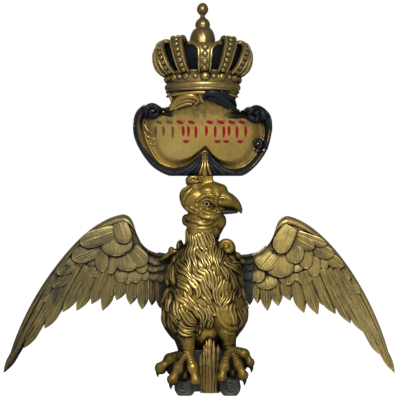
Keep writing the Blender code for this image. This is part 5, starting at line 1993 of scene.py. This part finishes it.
# How far the rays feel, in metres, and a fan of them: each is turned on by the golden angle
FEEL = 0.026
RAYS = 12
GOLDEN_SHARE, GOLDEN_ANGLE = 0.618, 2.399
FAN = []
for i in range(RAYS):
    high = 0.35 + 0.6 * ((i * GOLDEN_SHARE) % 1)
    flat = (1 - high * high) ** 0.5
    FAN.append((flat * cos(i * GOLDEN_ANGLE), flat * sin(i * GOLDEN_ANGLE), high))


def closed_in(point, normal):
    """How closely the carving surrounds a point: none of the rays hit, 0, or all close by, 1."""
    normal = Vector(normal)
    origin = Vector(point) + normal * 0.0008
    side = normal.orthogonal().normalized()
    other = normal.cross(side)
    closed = 0.0
    for a, b, c in FAN:
        hit = AROUND.ray_cast(origin, side * a + other * b + normal * c, FEEL)
        if hit[0] is not None:
            closed += 1 - 0.6 * hit[3] / FEEL
    return closed / RAYS


def spread(values, edges, times):
    """Averages a value with its neighbours."""
    one, other = edges.T
    links = np.bincount(edges.ravel(), minlength=len(values))
    for _ in range(times):
        total = np.bincount(one, values[other], len(values)) + np.bincount(other, values[one], len(values))
        values = 0.5 * values + 0.5 * total / np.maximum(links, 1)
    return values


def ridged(points, normals, edges):
    """How steeply the neighbours of a point fall away below its normal, from 0 to 1."""
    one, other = edges.T
    way = points[other] - points[one]
    size = np.maximum(np.linalg.norm(way, axis=1), 1e-7)
    falls = np.bincount(one, -(normals[one] * way).sum(1) / size**2, len(points))
    falls += np.bincount(other, (normals[other] * way).sum(1) / size**2, len(points))
    falls /= np.maximum(np.bincount(edges.ravel(), minlength=len(points)), 1)
    return ramp(spread(falls, edges, 1) / 1000, 0.06, 0.16)


# %% Measure every piece
# The way that the painted light comes from: surfaces turned away from it get painted shade
PAINTED_LIGHT_FROM = np.array((0, -0.92, 0.39))
FELT = {"cartouche": 0.7, "left_wing": 1.3, "right_wing": 1.35}
for obj, node, _ in PIECES:
    points, normals = read_rows(obj.data.vertices, "co", 3), read_rows(obj.data.vertices, "normal", 3)
    edges = read_rows(obj.data.edges, "vertices", 2, np.int32)
    hollow = np.array([closed_in(*pair) for pair in zip(points.tolist(), normals.tolist())])
    # Painted shade on surfaces turned away from the painted light and on the places listed above
    turned_from_painted_light = np.clip(1 - normals @ PAINTED_LIGHT_FROM, 0, 1)
    dull = 0.30 * turned_from_painted_light**1.5 + painted_shade_and_eye_tone(points, obj.name, node)
    mark(obj, "bare", ungilded(points, normals, obj.name, node))
    # The hollow value: dirt and painted shade in the hollows, with the painted shade added
    mark(obj, "hollow", FELT.get(node, 1.0) * spread(hollow, edges, 2) + dull)
    stronger = 1.35 if "wing" in node else 1.0
    # The edge value: wear on the ridges, plus painted highlights
    mark(obj, "edge", ridged(points, normals, edges) * stronger + painted_highlights_and_iris(points, node))
print("measured", len(everything), "points")

# %% [markdown]
# ## Putting it together
#
# Every piece gets its finish, and is shaded smooth except where two faces meet at a cut sharper
# than fifty degrees. Then it is tied to the frame: it rides on the root and replaces the plain
# solid of its node. Last, the triangles of every piece are counted.

# %% Finish, tie and count
for obj, node, finish in PIECES:
    obj.data.materials.clear()
    obj.data.materials.append(finishes[finish])
    pick(obj)
    bpy.ops.object.shade_smooth_by_angle(angle=radians(50))
    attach(obj, "root")
    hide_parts(node)
counts = {}
for obj, _, _ in PIECES:
    counts[obj.name] = sum(len(polygon.vertices) - 2 for polygon in obj.data.polygons)
print("triangles:", counts, "in all", sum(counts.values()))
